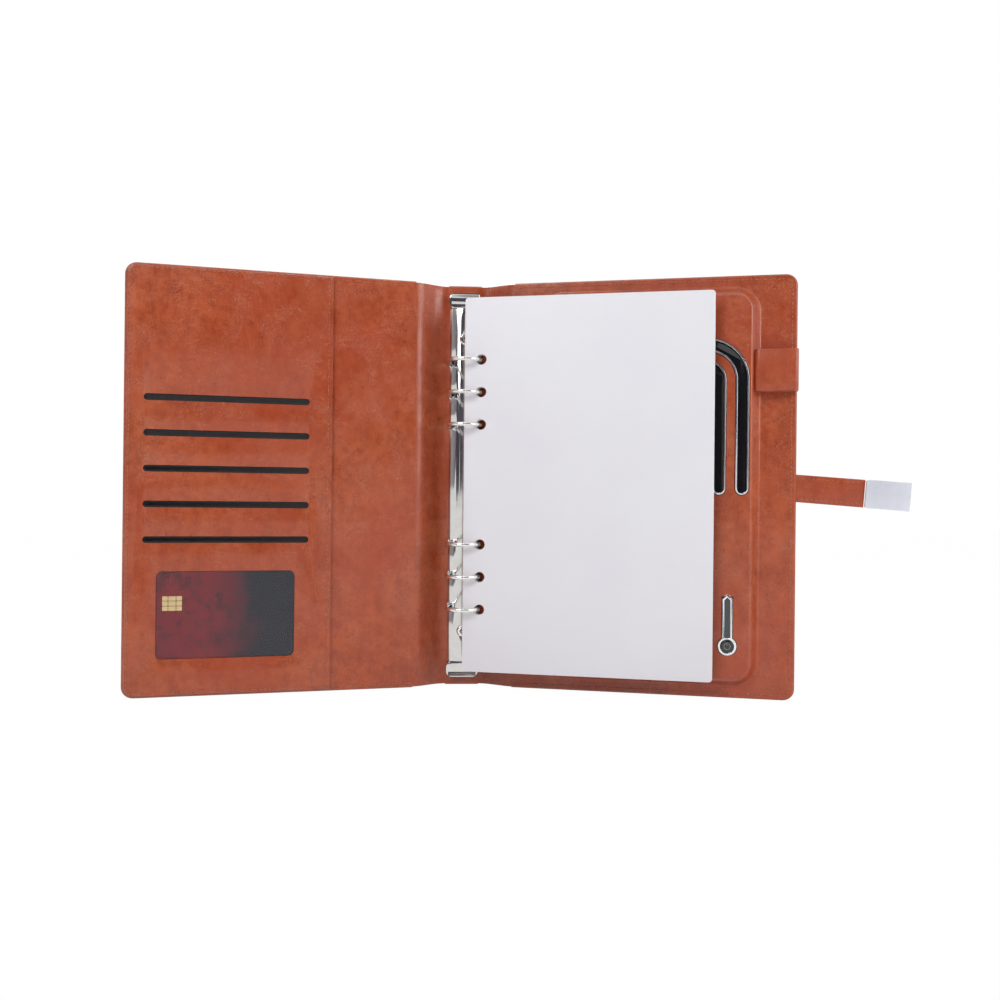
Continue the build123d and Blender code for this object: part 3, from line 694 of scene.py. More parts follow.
    @staticmethod
    def plate(name: str, low: Sequence[float], high: Sequence[float], corner: float, soft: float = 0.0,
              soft_back: float = 0.0, open_side: Optional[float] = None, steps: int = 8) -> bpy.types.Object:
        """Plate with rounded corners and softened rims.

        Args:
            name: the piece's name.
            low: lowest corner.
            high: highest corner.
            corner: radius of the corners in the panel's plane.
            soft: radius of the rim that faces the reader.
            soft_back: radius of the rim behind.
            open_side: place across of a side that keeps its square corners and edges.
            steps: segments of a rounded corner.

        Returns:
            The new object.
        """
        piece = Bench.block(name, low, high)
        if open_side is None:
            Bench.bevel(piece, Bench.upright_at(), corner, steps)
        else:
            far = high[0] if abs(open_side - low[0]) < 1e-6 else low[0]
            Bench.bevel(piece, Bench.upright_at(far), corner, steps)
        if soft:
            Bench.bevel(piece, Bench.rim_at(high[2], open_side), soft, 4)
        if soft_back:
            Bench.bevel(piece, Bench.rim_at(low[2], open_side), soft_back, 4)
        return piece

    @staticmethod
    def smooth(piece: bpy.types.Object, angle: float = 35.0) -> None:
        """Shade smooth below an angle."""
        Bench.hold(piece)
        bpy.ops.object.shade_smooth_by_angle(angle=math.radians(angle))

    @staticmethod
    def outward(piece: bpy.types.Object) -> None:
        """Merge doubles and turn every face outwards."""
        with Bench.editing(piece):
            bpy.ops.mesh.remove_doubles(threshold=1e-6)
            bpy.ops.mesh.normals_make_consistent(inside=False)

    @staticmethod
    def finish(piece: bpy.types.Object, finish: Finish, slot: str, panel: Optional[Panel] = None,
               angle: float = 35.0) -> bpy.types.Object:
        """Put a piece in the shared frame, shade it and give it its finish.

        Args:
            piece: the piece, in the panel's frame.
            finish: its finish.
            slot: the record's material slot; not used.
            panel: the panel it was made in.
            angle: smoothing angle in degrees.

        Returns:
            The same piece.
        """
        if panel is not None:
            piece.matrix_world = panel.matrix()
            Bench.settle(piece)
        Bench.smooth(piece, angle)
        piece.data.materials.clear()
        piece.data.materials.append(finish.made())
        return piece

    @staticmethod
    def gather(name: str, pieces: Sequence[bpy.types.Object]) -> bpy.types.Object:
        """Join pieces into one object."""
        Bench.clear()
        for piece in pieces:
            piece.select_set(True)
        bpy.context.view_layer.objects.active = pieces[0]
        if len(pieces) > 1:
            bpy.ops.object.join()
        pieces[0].name = name
        return pieces[0]

    @staticmethod
    def copy(piece: bpy.types.Object, move: Sequence[float]) -> bpy.types.Object:
        """Copy a piece with its own mesh and move the copy by millimetres in the frame it was made in."""
        Bench.hold(piece)
        bpy.ops.object.duplicate(linked=False)
        twin = bpy.context.object
        twin.location = [m * MM for m in move]
        Bench.settle(twin)
        return twin

    @staticmethod
    def softened(node: str, name: str, width: float, segments: int = 2) -> bpy.types.Object:
        """Copy of a CAD node with merged faces and rounded edges, which stands for the node.

        Args:
            node: the CAD node.
            name: the new piece's name.
            width: width of the rounding.
            segments: steps of the rounding.

        Returns:
            The new piece, riding on the node's body.
        """
        source = frame["nodes"][node]
        body = source["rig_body"]
        Bench.hold(source)
        bpy.ops.object.duplicate(linked=False)
        piece = bpy.context.object
        piece.name = name
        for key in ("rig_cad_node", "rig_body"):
            if key in piece:
                del piece[key]
        piece.parent = None
        piece.matrix_world = Matrix.Identity(4)
        with Bench.editing(piece):
            bpy.ops.mesh.remove_doubles(threshold=2e-6)
            bpy.ops.mesh.dissolve_limited(angle_limit=math.radians(0.5))
        Bench.ease(piece, width, segments, 32)
        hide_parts(node)
        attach(piece, body)
        return piece


@dataclass
class Stitching:
    """Row of sewn stitches along a line in a panel's plane."""

    pitch: float = 2.5
    length: float = 1.8
    width: float = 0.6
    height: float = 0.5

    def run(self, name: str, line: Sequence[Sequence[float]], out: float) -> bpy.types.Object:
        """Sew along a line.

        Args:
            name: the piece's name.
            line: points of the line, across and up.
            out: level of the face that the thread lies on.

        Returns:
            The row of stitches, in the panel's frame.
        """
        Bench.clear()
        bpy.ops.mesh.primitive_uv_sphere_add(segments=8, ring_count=6, radius=0.5, location=(0, 0, 0),
                                             rotation=(0, math.pi / 2, 0))
        stitch = bpy.context.object
        stitch.name = name
        Bench.settle(stitch)
        stitch.scale = (self.length * MM, self.width * MM, self.height * MM)
        stitch.rotation_euler = (0, 0, math.radians(5))
        stitch.location = (self.pitch / 2 * MM, 0, out * MM)
        Bench.settle(stitch)
        data = bpy.data.curves.new(name + "_line", "CURVE")
        data.dimensions = "2D"
        spline = data.splines.new("POLY")
        spline.points.add(len(line) - 1)
        for point, (across, up) in zip(spline.points, line):
            point.co = (across * MM, up * MM, 0, 1)
        guide = bpy.data.objects.new(name + "_line", data)
        bpy.context.scene.collection.objects.link(guide)
        steps = sum(math.dist(a, b) for a, b in zip(line, line[1:]))
        count = max(1, int(steps / self.pitch))
        even = steps / count
        Bench.apply(stitch, "ARRAY", {
            "fit_type": "FIXED_COUNT", "count": count, "use_relative_offset": False,
            "use_constant_offset": True, "constant_offset_displace": (even * MM, 0, 0),
        })
        Bench.apply(stitch, "CURVE", {"object": guide, "deform_axis": "POS_X"})
        bpy.data.objects.remove(guide, do_unlink=True)
        return stitch


def rounded_line(left: float, right: float, low: float, high: float, radius: float) -> list:
    """Open line along the foot, the outer side and the top of a cover, with two round corners.

    Args:
        left: place across of the line's two open ends.
        right: place across of the outer side, on either side of the ends.
        low: height of the foot.
        high: height of the top.
        radius: radius of the corners.

    Returns:
        The line's points.
    """
    side = 1 if right > left else -1
    line = [(left, low)]
    for centre_up, start in ((low + radius, -90), (high - radius, 0)):
        for step in range(9):
            angle = math.radians(start + step * 90 / 8)
            across = right - side * radius + side * radius * math.cos(angle)
            line.append((across, centre_up + radius * math.sin(angle)))
    line.append((left, high))
    return line


# Sub-assemblies -------------------------------------------------------------------------------
@dataclass
class Case:
    """Sizes that the covers and the spine share, in millimetres."""

    height: float = 242.0
    width: float = 163.0
    spine: float = 20.0
    strip: float = 22.0
    strip_tilt: float = 28.0
    front_tilt: float = 12.0
    back_tilt: float = 15.0
    thick: float = 4.0
    leather: float = 1.0
    lining: float = 0.8
    margin: float = 4.0
    corner: float = 6.5
    seam: float = 2.9

    def fold(self) -> tuple:
        """Place of the back cover's inner edge: across and in depth."""
        angle = math.radians(self.strip_tilt)
        return self.spine / 2 + self.strip * math.cos(angle), -self.thick / 2 - self.strip * math.sin(angle)

    def back_panel(self) -> Panel:
        """Frame of the back cover."""
        across, depth = self.fold()
        return Panel((across, depth, 0), self.back_tilt)

    def front_panel(self) -> Panel:
        """Frame of the front cover."""
        across, depth = self.fold()
        return Panel((-across, depth, 0), -self.front_tilt)

    def spine_panel(self) -> Panel:
        """Frame of the spine."""
        return Panel((0, -self.thick / 2, 0), 0)


@dataclass
class Cover:
    """One cover: leather wrap with its bed, softened lining and sewn edge."""

    name: str
    panel: Panel
    side: int
    case: Case
    sewing: Stitching = field(default_factory=Stitching)

    def wrap(self) -> bpy.types.Object:
        """Outer leather, turned round the edges of the board."""
        c = self.case
        outer = self.side * c.width
        low, high = sorted((0.0, outer))
        piece = Bench.plate(f"{self.name}_wrap", (low, 0, -c.thick), (high, c.height, -c.lining), c.corner,
                            0.5, 1.3, open_side=0.0)
        inner = outer - self.side * c.margin
        bed_low, bed_high = sorted((-self.side * 1.0, inner))
        bed = Bench.block("bed", (bed_low, c.margin, -c.thick + c.leather),
                          (bed_high, c.height - c.margin, 1.0))
        Bench.join_shape(piece, bed)
        Bench.finish(piece, Finish.CASE, "case_leather", self.panel)
        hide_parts(f"{self.name}_leather")
        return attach(piece, self.name)

    def seam_line(self) -> list:
        """Line of the stitches round the three outer sides."""
        c = self.case
        return rounded_line(self.side * 0.8, self.side * (c.width - c.seam), c.seam, c.height - c.seam,
                            c.corner - c.seam + 0.6)

    def sew(self) -> None:
        """Stitches on the inner and the outer face."""
        for face, level in (("inner", 0.08), ("outer", -self.case.thick - 0.02)):
            row = self.sewing.run(f"{self.name}_{face}_stitches", self.seam_line(), level)
            Bench.finish(row, Finish.THREAD, "case_leather", self.panel, 60)
            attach(row, self.name)

    def build(self) -> None:
        """Build the cover."""
        self.wrap()
        self.sew()


@dataclass
class FrontCover(Cover):
    """Front cover with its card pocket."""

    pocket: float = 114.0
    rim: float = 1.6
    space: float = 1.3
    sheet: float = 0.8
    slots: int = 5
    slot_length: float = 90.5
    slot_height: float = 3.7
    slot_edge: float = 10.6
    slot_first: float = 167.4
    slot_pitch: float = 19.8
    window: tuple = (18.0, 21.6, 75.5, 49.0)
    window_corner: float = 3.5
    hollow_wall: float = 2.5
    welt_edge: float = 2.3
    piping: float = 0.85
    chip_place: tuple = (3.4, 26.9)
    chip_columns: tuple = ((0, 3.0), (3.25, 4.0), (7.5, 3.0))
    chip_rows: tuple = ((0, 2.5), (2.75, 2.6), (5.6, 2.5))

    def lining(self) -> None:
        """Lining with a soft rim."""
        c = self.case
        piece = Bench.plate("front_cover_inner", (-c.width + 0.5, 0.5, -c.lining), (0, c.height - 0.5, 0),
                            c.corner - 0.5, 0.7, open_side=0.0)
        Bench.finish(piece, Finish.LINING, "lining_leather", self.panel)
        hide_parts("front_cover_lining")
        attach(piece, self.name)

    def slot_middle(self, index: int) -> tuple:
        """Centre of a card slot."""
        across = -self.case.width + self.slot_edge + self.slot_length / 2
        return across, self.slot_first - index * self.slot_pitch

    def slot_plate(self, index: int, less: float, back: float, front: float,
                   soft: float = 0.0) -> bpy.types.Object:
        """Plate with the outline of a card slot.

        Args:
            index: the slot, from the top.
            less: how far the outline lies inside the slot's.
            back: lower level.
            front: upper level.
            soft: radius of the upper rim.

        Returns:
            The plate, in the panel's frame.
        """
        across, up = self.slot_middle(index)
        half, tall = self.slot_length / 2 - less, self.slot_height / 2 - less
        return Bench.plate("slot", (across - half, up - tall, back), (across + half, up + tall, front),
                           tall - 0.01, soft, steps=6)

    def pocket_sheet(self) -> None:
        """Pocket sheet with its slots and window, hollow behind."""
        c = self.case
        left, right = -c.width + self.rim, -c.width + self.pocket
        low, high, top = self.rim, c.height - self.rim, self.space + self.sheet
        piece = Bench.plate("card_pocket", (left, low, 0.02), (right, high, top), c.corner - self.rim, 0.7,
                            open_side=right)
        edge = Bench.both(lambda p: abs(p.x - right) < PLACED and p.z > top - PLACED)
        Bench.bevel(piece, edge, 0.5, 3)
        wall = self.hollow_wall
        Bench.join_shape(piece, Bench.block(
            "hollow", (left + wall, low + wall, -1.0), (right - wall, high - wall, self.space)
        ))
        for index in range(self.slots):
            Bench.join_shape(piece, self.slot_plate(index, 0.0, 0.5, top + 1.0))
        edge, foot, width, height = self.window
        start, far = (-c.width + edge, foot, -0.5), (-c.width + edge + width, foot + height, top + 1.0)
        Bench.join_shape(piece, Bench.plate("opening", start, far, self.window_corner))
        Bench.ease(piece, 0.22, 2, 60)
        Bench.finish(piece, Finish.LINING, "lining_leather", self.panel)
        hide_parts("pocket_sheet")
        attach(piece, self.name)

    def bindings(self) -> None:
        """Black piping round each slot."""
        top = self.space + self.sheet
        made = []
        for index in range(self.slots):
            ring = self.slot_plate(index, 0.05, self.space, top + 0.2, 0.19)
            Bench.join_shape(ring, self.slot_plate(index, 0.05 + self.piping, 0, 5))
            made.append(ring)
        piece = Bench.gather("slot_piping", made)
        Bench.finish(piece, Finish.FABRIC, "black_fabric", self.panel, 50)
        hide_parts("slot_bindings")
        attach(piece, self.name)

    def chip(self) -> None:
        """Gold contact field on the card, with its grooves."""
        edge, foot, _, _ = self.window
        left, up = -self.case.width + edge + self.chip_place[0], foot + self.chip_place[1]
        face = self.space - 0.25
        made = []
        for start_x, wide in self.chip_columns:
            for start_y, tall in self.chip_rows:
                x, y = left + start_x, up + start_y
                made.append(Bench.plate("contact", (x, y, face - 0.1), (x + wide, y + tall, face + 0.06),
                                        0.3, steps=2))
        piece = Bench.gather("card_chip", made)
        Bench.finish(piece, Finish.GOLD, "card_plastic", self.panel)
        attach(piece, self.name)

    def welt(self) -> None:
        """Stitches down the inner side of the pocket."""
        across = -self.case.width + self.pocket - self.welt_edge
        line = [(across, 3.5), (across, self.case.height - 3.5)]
        row = self.sewing.run("pocket_stitches", line, self.space + self.sheet + 0.08)
        Bench.finish(row, Finish.THREAD, "case_leather", self.panel, 60)
        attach(row, self.name)

    def sew(self) -> None:
        """Stitches; those over the pocket lie on its sheet."""
        line = self.seam_line()
        lap = -self.case.width + self.pocket + 1.0
        low = [p for p in line if p[1] < self.case.height / 2]
        high = [p for p in line if p[1] > self.case.height / 2]
        on_lining = [[low[0], (lap, low[0][1])], [(lap, high[-1][1]), high[-1]]]
        on_pocket = [(lap - 1.0, low[0][1]), *low[1:], *high[:-1], (lap - 1.0, high[-1][1])]
        rows = [self.sewing.run("row", line_part, 0.08) for line_part in on_lining]
        rows.append(self.sewing.run("row", on_pocket, self.space + self.sheet + 0.08))
        inner = Bench.gather("front_cover_inner_stitches", rows)
        outer = self.sewing.run("front_cover_outer_stitches", line, -self.case.thick - 0.02)
        for row in (inner, outer):
            Bench.finish(row, Finish.THREAD, "case_leather", self.panel, 60)
            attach(row, self.name)

    def build(self) -> None:
        """Build the cover and its pocket."""
        super().build()
        self.lining()
        self.pocket_sheet()
        self.bindings()
        self.chip()
        self.welt()


@dataclass
class BackCover(Cover):
    """Back cover with the raised power bank, its channels, indicator and pen loop."""

    start: float = 20.0
    end: float = 137.8
    foot: float = 12.0
    top: float = 230.0
    rise: float = 6.8
    slope: float = 1.6
    form_corner: float = 9.0
    channel_edge: float = 50.3
    arc_height: float = 181.5
    limb: float = 61.5
    radii: tuple = (20.1, 7.4)
    channel: float = 5.4
    trim: float = 0.9
    indicator: tuple = (37.5, 30.6)
    bulb: float = 5.2
    stem: float = 5.6
    stem_top: float = 60.0
    spread: float = 5.6
    loop_size: tuple = (23.8, 23.7, 55.2)
    loop_overhang: float = 0.4
    sockets: tuple = ((-13, 13.4, 5.8), (13, 8.2, 3.4))
    cut_gap: float = 0.4
    loop_level: float = 6.8

    def trough(self, name: str, radius: float, width: float, back: float, front: float) -> bpy.types.Object:
        """Solid band along an upside-down U: a spun arc whose two ends are drawn down to round feet.

        Args:
            name: the piece's name.
            radius: radius of the arc's middle line.
            width: width of the band.
            back: lower level.
            front: upper level.

        Returns:
            The band, in the panel's frame.
        """
        middle = self.case.width - self.channel_edge
        half = width / 2
        Bench.clear()
        bpy.ops.mesh.primitive_plane_add(size=1.0, location=(0, 0, 0))
        piece = bpy.context.object
        piece.name = name
        piece.scale = (width * MM, (front - back) * MM, 1)
        piece.rotation_euler = (math.pi / 2, 0, 0)
        piece.location = ((middle + radius) * MM, self.arc_height * MM, (back + front) / 2 * MM)
        Bench.settle(piece)
        centre = (middle * MM, self.arc_height * MM, 0)
        with Bench.editing(piece):
            bpy.ops.mesh.spin(steps=40, angle=math.pi, center=centre, axis=(0, 0, -1))
        if min(v.co.y for v in piece.data.vertices) < (self.arc_height - half) * MM:
            for vertex in piece.data.vertices:
                vertex.co.y = 2 * self.arc_height * MM - vertex.co.y
        self._cap(piece)
        for side in (-1, 1):
            at = middle + side * radius
            low = self.arc_height - self.limb
            limb = Bench.block("limb", (at - half, low, back), (at + half, self.arc_height + 0.01, front))
            foot = Bench.rod("foot", (at, low, (back + front) / 2), half, front - back, 32)
            Bench.join_shape(limb, foot, "UNION")
            Bench.join_shape(piece, limb, "UNION")
        Bench.outward(piece)
        return piece

    @staticmethod
    def _cap(piece: bpy.types.Object) -> None:
        """Close the two open ends of a spun band."""
        with Bench.editing(piece):
            bpy.ops.mesh.remove_doubles(threshold=1e-6)
            bpy.ops.mesh.select_all(action="DESELECT")
            bpy.ops.mesh.select_mode(type="EDGE")
            bpy.ops.mesh.select_non_manifold()
            bpy.ops.mesh.edge_face_add()
            bpy.ops.mesh.select_all(action="SELECT")
            bpy.ops.mesh.normals_make_consistent(inside=False)

    def form(self, name: str, shrink: float, base: float, level: float, soft: float) -> bpy.types.Object:
        """Block over the power bank, with softened upper edges."""
        piece = Bench.plate(
            name, (self.start + shrink - self.slope, self.foot + shrink - self.slope, base),
            (self.end - shrink + self.slope, self.top - shrink + self.slope, level), self.form_corner, soft,
        )
        return piece

    def hill(self) -> bpy.types.Object:
        """Raised form whose sides run out in a soft double curve."""
        spread, sink, steps = self.spread, 0.4, 16
        piece = Bench.plate("hill", (self.start - spread, self.foot - spread, -sink),
                            (self.end + spread, self.top + spread, 0.01), self.form_corner + spread, steps=12)
        with Bench.editing(piece, "DESELECT"):
            bpy.ops.mesh.select_mode(type="FACE")
        for face in piece.data.polygons:
            face.select = face.normal.z > 0.9
        bpy.ops.object.mode_set(mode="EDIT")
        climbed = 0.01
        for step in range(1, steps + 1):
            share = step / steps
            height = max(0.01, self.rise * share * share * (3 - 2 * share))
            bpy.ops.mesh.inset(thickness=(spread + 0.9) / steps * MM, depth=(height - climbed) * MM)
            climbed = height
        bpy.ops.object.mode_set(mode="OBJECT")
        return piece

    def lining(self) -> None:
        """Lining formed over the power bank and cut for the channels, the indicator and the sockets."""
        c = self.case
        piece = Bench.plate(
            "back_cover_inner", (0, 0.5, -c.lining), (c.width - 0.5, c.height - 0.5, 0), c.corner - 0.5, 0.7,
            open_side=0.0,
        )
        Bench.join_shape(piece, self.hill(), "UNION")
        Bench.join_shape(piece, self.form("hollow", 3.0, -2.0, self.rise - c.lining, 0.6))
        grow = self.channel + 2 * self.trim + 0.9
        for radius in self.radii:
            Bench.join_shape(piece, self.trough("channel_cut", radius, grow, 1.0, self.rise + 2))
        edge, up = self.indicator
        across = c.width - edge
        cut = Bench.rod("bulb_cut", (across, up, self.rise), self.bulb + self.cut_gap, 8.0)
        half = self.stem / 2 + self.cut_gap
        low, high = (across - half, up, self.rise - 4), (across + half, self.stem_top - 1.2, self.rise + 4)
        Bench.join_shape(cut, Bench.block("stem_cut", low, high), "UNION")
        Bench.join_shape(piece, cut)
        middle = (self.start + self.end) / 2
        for shift, wide, tall in self.sockets:
            place = middle + shift
            low = (place - wide / 2, self.top - 8, 0.05)
            high = (place + wide / 2, self.top + 6, 0.05 + tall)
            Bench.join_shape(piece, Bench.block("socket_cut", low, high))
        Bench.finish(piece, Finish.LINING, "lining_leather", self.panel, 50)
        Bench.apply(piece, "WEIGHTED_NORMAL", {"keep_sharp": True})
        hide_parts("back_cover_lining")
        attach(piece, self.name)

    def loop(self) -> None:
        """Flat leather pen loop with softened edges, open from top to bottom."""
        c = self.case
        width, tall, from_top = self.loop_size
        right = c.width + self.loop_overhang
        left = right - width
        low = c.height - from_top - tall / 2
        piece = Bench.block("pen_holder", (left, low, 0.02), (right, low + tall, self.loop_level))
        Bench.bevel(piece, Bench.running_up(3), 2.4, 6)
        mouth = Bench.block("mouth", (left + 2.0, low - 1, 0.9), (right - 2.0, low + tall + 1, 5.7))
        Bench.bevel(mouth, Bench.running_up(3), 1.6, 5)
        Bench.join_shape(piece, mouth)
        Bench.ease(piece, 0.28, 3, 50)
        Bench.finish(piece, Finish.LINING, "case_leather", self.panel, 45)
        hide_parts("pen_loop")
        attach(piece, self.name)

    def trims(self) -> None:
        """Channels, rims, bezel and button with softened edges."""
        for node, name, width, finish, slot in (
            ("cable_channel_outer", "outer_trough", 0.12, Finish.GLOSS, "black_gloss"),
            ("cable_channel_inner", "inner_trough", 0.12, Finish.GLOSS, "black_gloss"),
            ("channel_rim_outer", "outer_rim", 0.16, Finish.TRIM, "bright_trim"),
            ("channel_rim_inner", "inner_rim", 0.16, Finish.TRIM, "bright_trim"),
            ("indicator_bezel", "thermometer_bezel", 0.14, Finish.TRIM, "bright_trim"),
            ("power_button", "push_button", 0.16, Finish.GLOSS, "black_gloss"),
        ):
            piece = Bench.softened(node, name, width)
            Bench.finish(piece, finish, slot)

    def mark(self) -> None:
        """Plain power mark on the button: an open ring with a short bar."""
        c = self.case
        edge, up = self.indicator
        face = self.rise + 0.9
        across = c.width - edge
        Bench.clear()
        bpy.ops.mesh.primitive_torus_add(
            major_radius=1.75 * MM, minor_radius=0.16 * MM, major_segments=48, minor_segments=8,
            location=(across * MM, up * MM, (face + 0.02) * MM),
        )
        ring = bpy.context.object
        Bench.settle(ring)
        gap = Bench.block("gap", (across - 0.6, up + 1, face - 1), (across + 0.6, up + 3, face + 1))
        Bench.join_shape(ring, gap)
        low, high = (across - 0.16, up + 0.5, face - 0.1), (across + 0.16, up + 2.3, face + 0.14)
        bar = Bench.plate("bar", low, high, 0.1, 0.05, steps=3)
        piece = Bench.gather("button_mark", [ring, bar])
        Bench.finish(piece, Finish.MARK, "black_gloss", self.panel)
        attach(piece, "power_button")

    def build(self) -> None:
        """Build the cover and what it carries."""
        super().build()
        self.lining()
        self.loop()
        self.trims()
        self.mark()


@dataclass
class Spine:
    """Spine with its leather and lining, and the folds to both covers."""

    case: Case
    steps_up: int = 60

    def core(self) -> None:
        """Leather and lining of the stiff spine."""
        c, panel = self.case, self.case.spine_panel()
        half = c.spine / 2
        wrap = Bench.block("spine_wrap", (-half, 0, -c.thick), (half, c.height, -c.lining))
        for level, radius in ((-c.thick, 1.3), (-c.lining, 0.5)):
            Bench.bevel(wrap, Bench.rim_at(level, level=True), radius)
        Bench.join_shape(wrap, Bench.block(
            "bed", (-half - 1, c.margin, -c.thick + c.leather), (half + 1, c.height - c.margin, 1)
        ))
        Bench.finish(wrap, Finish.CASE, "case_leather", panel)
        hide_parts("spine_leather")
        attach(wrap, "spine")
        lining = Bench.block("spine_inner", (-half, 0.5, -c.lining), (half, c.height - 0.5, 0))
        Bench.bevel(lining, Bench.rim_at(0, level=True), 0.7)
        Bench.finish(lining, Finish.LINING, "lining_leather", panel)
        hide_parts("spine_lining")
        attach(lining, "spine")

    def fold(self, side: int) -> None:
        """Fold between the spine and a cover, thinner in the middle, with soft creases.

        Args:
            side: 1 for the back cover's side.
        """
        c = self.case
        name = "back" if side > 0 else "front"
        across, depth = c.fold()
        run, drop = across - c.spine / 2, depth + c.thick / 2
        tilt = c.back_tilt if side > 0 else c.front_tilt
        piece = Bench.block(f"{name}_fold", (0, 0, -1), (1, c.height, 0))
        with Bench.editing(piece):
            bpy.ops.mesh.subdivide(number_cuts=self.steps_up)
        reach = math.hypot(run, drop) / 3
        first = Vector((c.spine / 2, -c.thick / 2))
        last = Vector((c.spine / 2 + run, -c.thick / 2 + drop))
        leave = Vector((1, 0)) * reach
        arrive = Vector((math.cos(math.radians(tilt)), -math.sin(math.radians(tilt)))) * reach
        rng = random.Random(7 + side)
        waves = [(rng.uniform(0.02, 0.06), rng.uniform(0, 6.3), rng.uniform(0.05, 0.12)) for _ in range(6)]
        for vertex in piece.data.vertices:
            share, up, level = vertex.co.x / MM, vertex.co.y / MM, -vertex.co.z / MM
            keep = 1 - share
            centre = (first * keep ** 3 + (first + leave) * 3 * keep ** 2 * share
                      + (last - arrive) * 3 * keep * share ** 2 + last * share ** 3)
            slope = (leave * 3 * keep ** 2 + (last - arrive - first - leave) * 6 * keep * share
                     + arrive * 3 * share ** 2).normalized()
            normal = Vector((slope.y, -slope.x)) if slope.x > 0 else Vector((-slope.y, slope.x))
            if normal.y > 0:
                normal = -normal
            belly = max(0.0, math.sin(math.pi * share))
            swell = [size * math.sin(up * rate + start + 5 * share) for size, start, rate in waves]
            ripple = belly * sum(swell)
            near, far = 0.02 - 0.5 * belly ** 2 + ripple, -c.thick + 0.05 + 1.25 * belly ** 1.5 + ripple
            out = near * (1 - level) + far * level
            inset = 0.5 * (1 - level)
            shrink = 0.35 * min(1.0, abs(level - 0.5) * 2) ** 3
            tall = min(max(up, inset + shrink), c.height - inset - shrink)
            spot = centre + normal * out
            vertex.co = (side * spot.x * MM, spot.y * MM, tall * MM)
        Bench.outward(piece)
        Bench.finish(piece, Finish.LINING, "lining_leather", None, 50)
        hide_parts(f"{name}_hinge_leather", f"{name}_hinge_lining")
        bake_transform(piece)

    def build(self) -> None:
        """Build the spine."""
        self.core()
        for side in (-1, 1):
            self.fold(side)


@dataclass
class RingMechanism:
    """Rail, rivets, plates, rings and levers, with softened edges."""

    def build(self) -> None:
        """Dress each steel piece."""
        for node, name, width, finish in (
            ("ring_rail", "arched_rail", 0.18, Finish.RAIL),
            ("rail_rivets", "hollow_rivets", 0.18, Finish.RING),
            ("left_hinge_plate", "left_plate", 0.12, Finish.RAIL),
            ("right_hinge_plate", "right_plate", 0.12, Finish.RAIL),
            ("top_lever", "upper_lever", 0.2, Finish.RAIL),
            ("bottom_lever", "lower_lever", 0.2, Finish.RAIL),
            ("left_half_rings_upper", "left_rings_upper", 0.12, Finish.RING),
            ("left_half_rings_lower", "left_rings_lower", 0.12, Finish.RING),
            ("right_half_rings_upper", "right_rings_upper", 0.12, Finish.RING),
            ("right_half_rings_lower", "right_rings_lower", 0.12, Finish.RING),
        ):
            piece = Bench.softened(node, name, width)
            Bench.finish(piece, finish, "ring_steel", None, 40)


@dataclass
class Pages:
    """Loose pages on the rings, a smooth sheet in front and a stiff one behind."""

    case: Case
    width: float = 143.2
    height: float = 218.5
    offset: float = 0.6
    stack: float = 4.6
    lift: float = 1.0
    corner: float = 2.0
    hole: float = 3.1
    ring: float = 10.5
    first_ring: float = 35.0
    ring_pitch: float = 19.0
    count: int = 16
    reach: float = 18.0

    def panel(self) -> Panel:
        """Frame of the pages, which swings round the rings' centre."""
        return Panel((0, -self.case.thick / 2 - self.reach, 0), self.case.back_tilt)

    def sheet(self, name: str, back: float, front: float, soft: float) -> bpy.types.Object:
        """One sheet with its six holes."""
        low = (self.case.height - self.height) / 2
        far = (self.offset + self.width, low + self.height, front)
        piece = Bench.plate(name, (self.offset, low, back), far, self.corner, soft, steps=5)
        middle = self.case.height / 2
        for side in (-1, 1):
            for step in (0, 1, 2):
                up = middle + side * (self.first_ring + self.ring_pitch * step)
                at = (self.ring, up, (back + front) / 2)
                Bench.join_shape(piece, Bench.rod("hole", at, self.hole, 4.0, 32))
        return piece

    def block(self) -> None:
        """Stack of single sheets that don't lie quite even."""
        back, front = self.lift - self.stack / 2, self.lift + self.stack / 2
        pitch = (front - back) / self.count
        first = self.sheet("page_stack", back, back + pitch * 0.9, 0)
        rng = random.Random(3)
        made = [first]
        for index in range(1, self.count):
            slip = (-rng.uniform(0.0, 0.12), rng.uniform(-0.2, 0.2), index * pitch)
            made.append(Bench.copy(first, slip))
        piece = Bench.gather("page_stack", made)
        Bench.finish(piece, Finish.STACK, "page_paper", self.panel())
        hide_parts("page_block")
        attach(piece, "page_block")

    def covers(self) -> None:
        """Smooth front sheet and stiff back sheet."""
        front = self.lift + self.stack / 2 + 0.1
        back = self.lift - self.stack / 2
        for name, node, low, high, body in (
            ("smooth_front_sheet", "notebook_front_sheet", front, front + 0.4, "front_sheet"),
            ("stiff_back_sheet", "notebook_back_sheet", back - 0.4, back - 0.02, "page_block"),
        ):
            piece = self.sheet(name, low, high, 0.1)
            Bench.finish(piece, Finish.SHEET, "cover_card", self.panel())
            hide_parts(node)
            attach(piece, body)

    def build(self) -> None:
        """Build the pages."""
        self.block()
        self.covers()


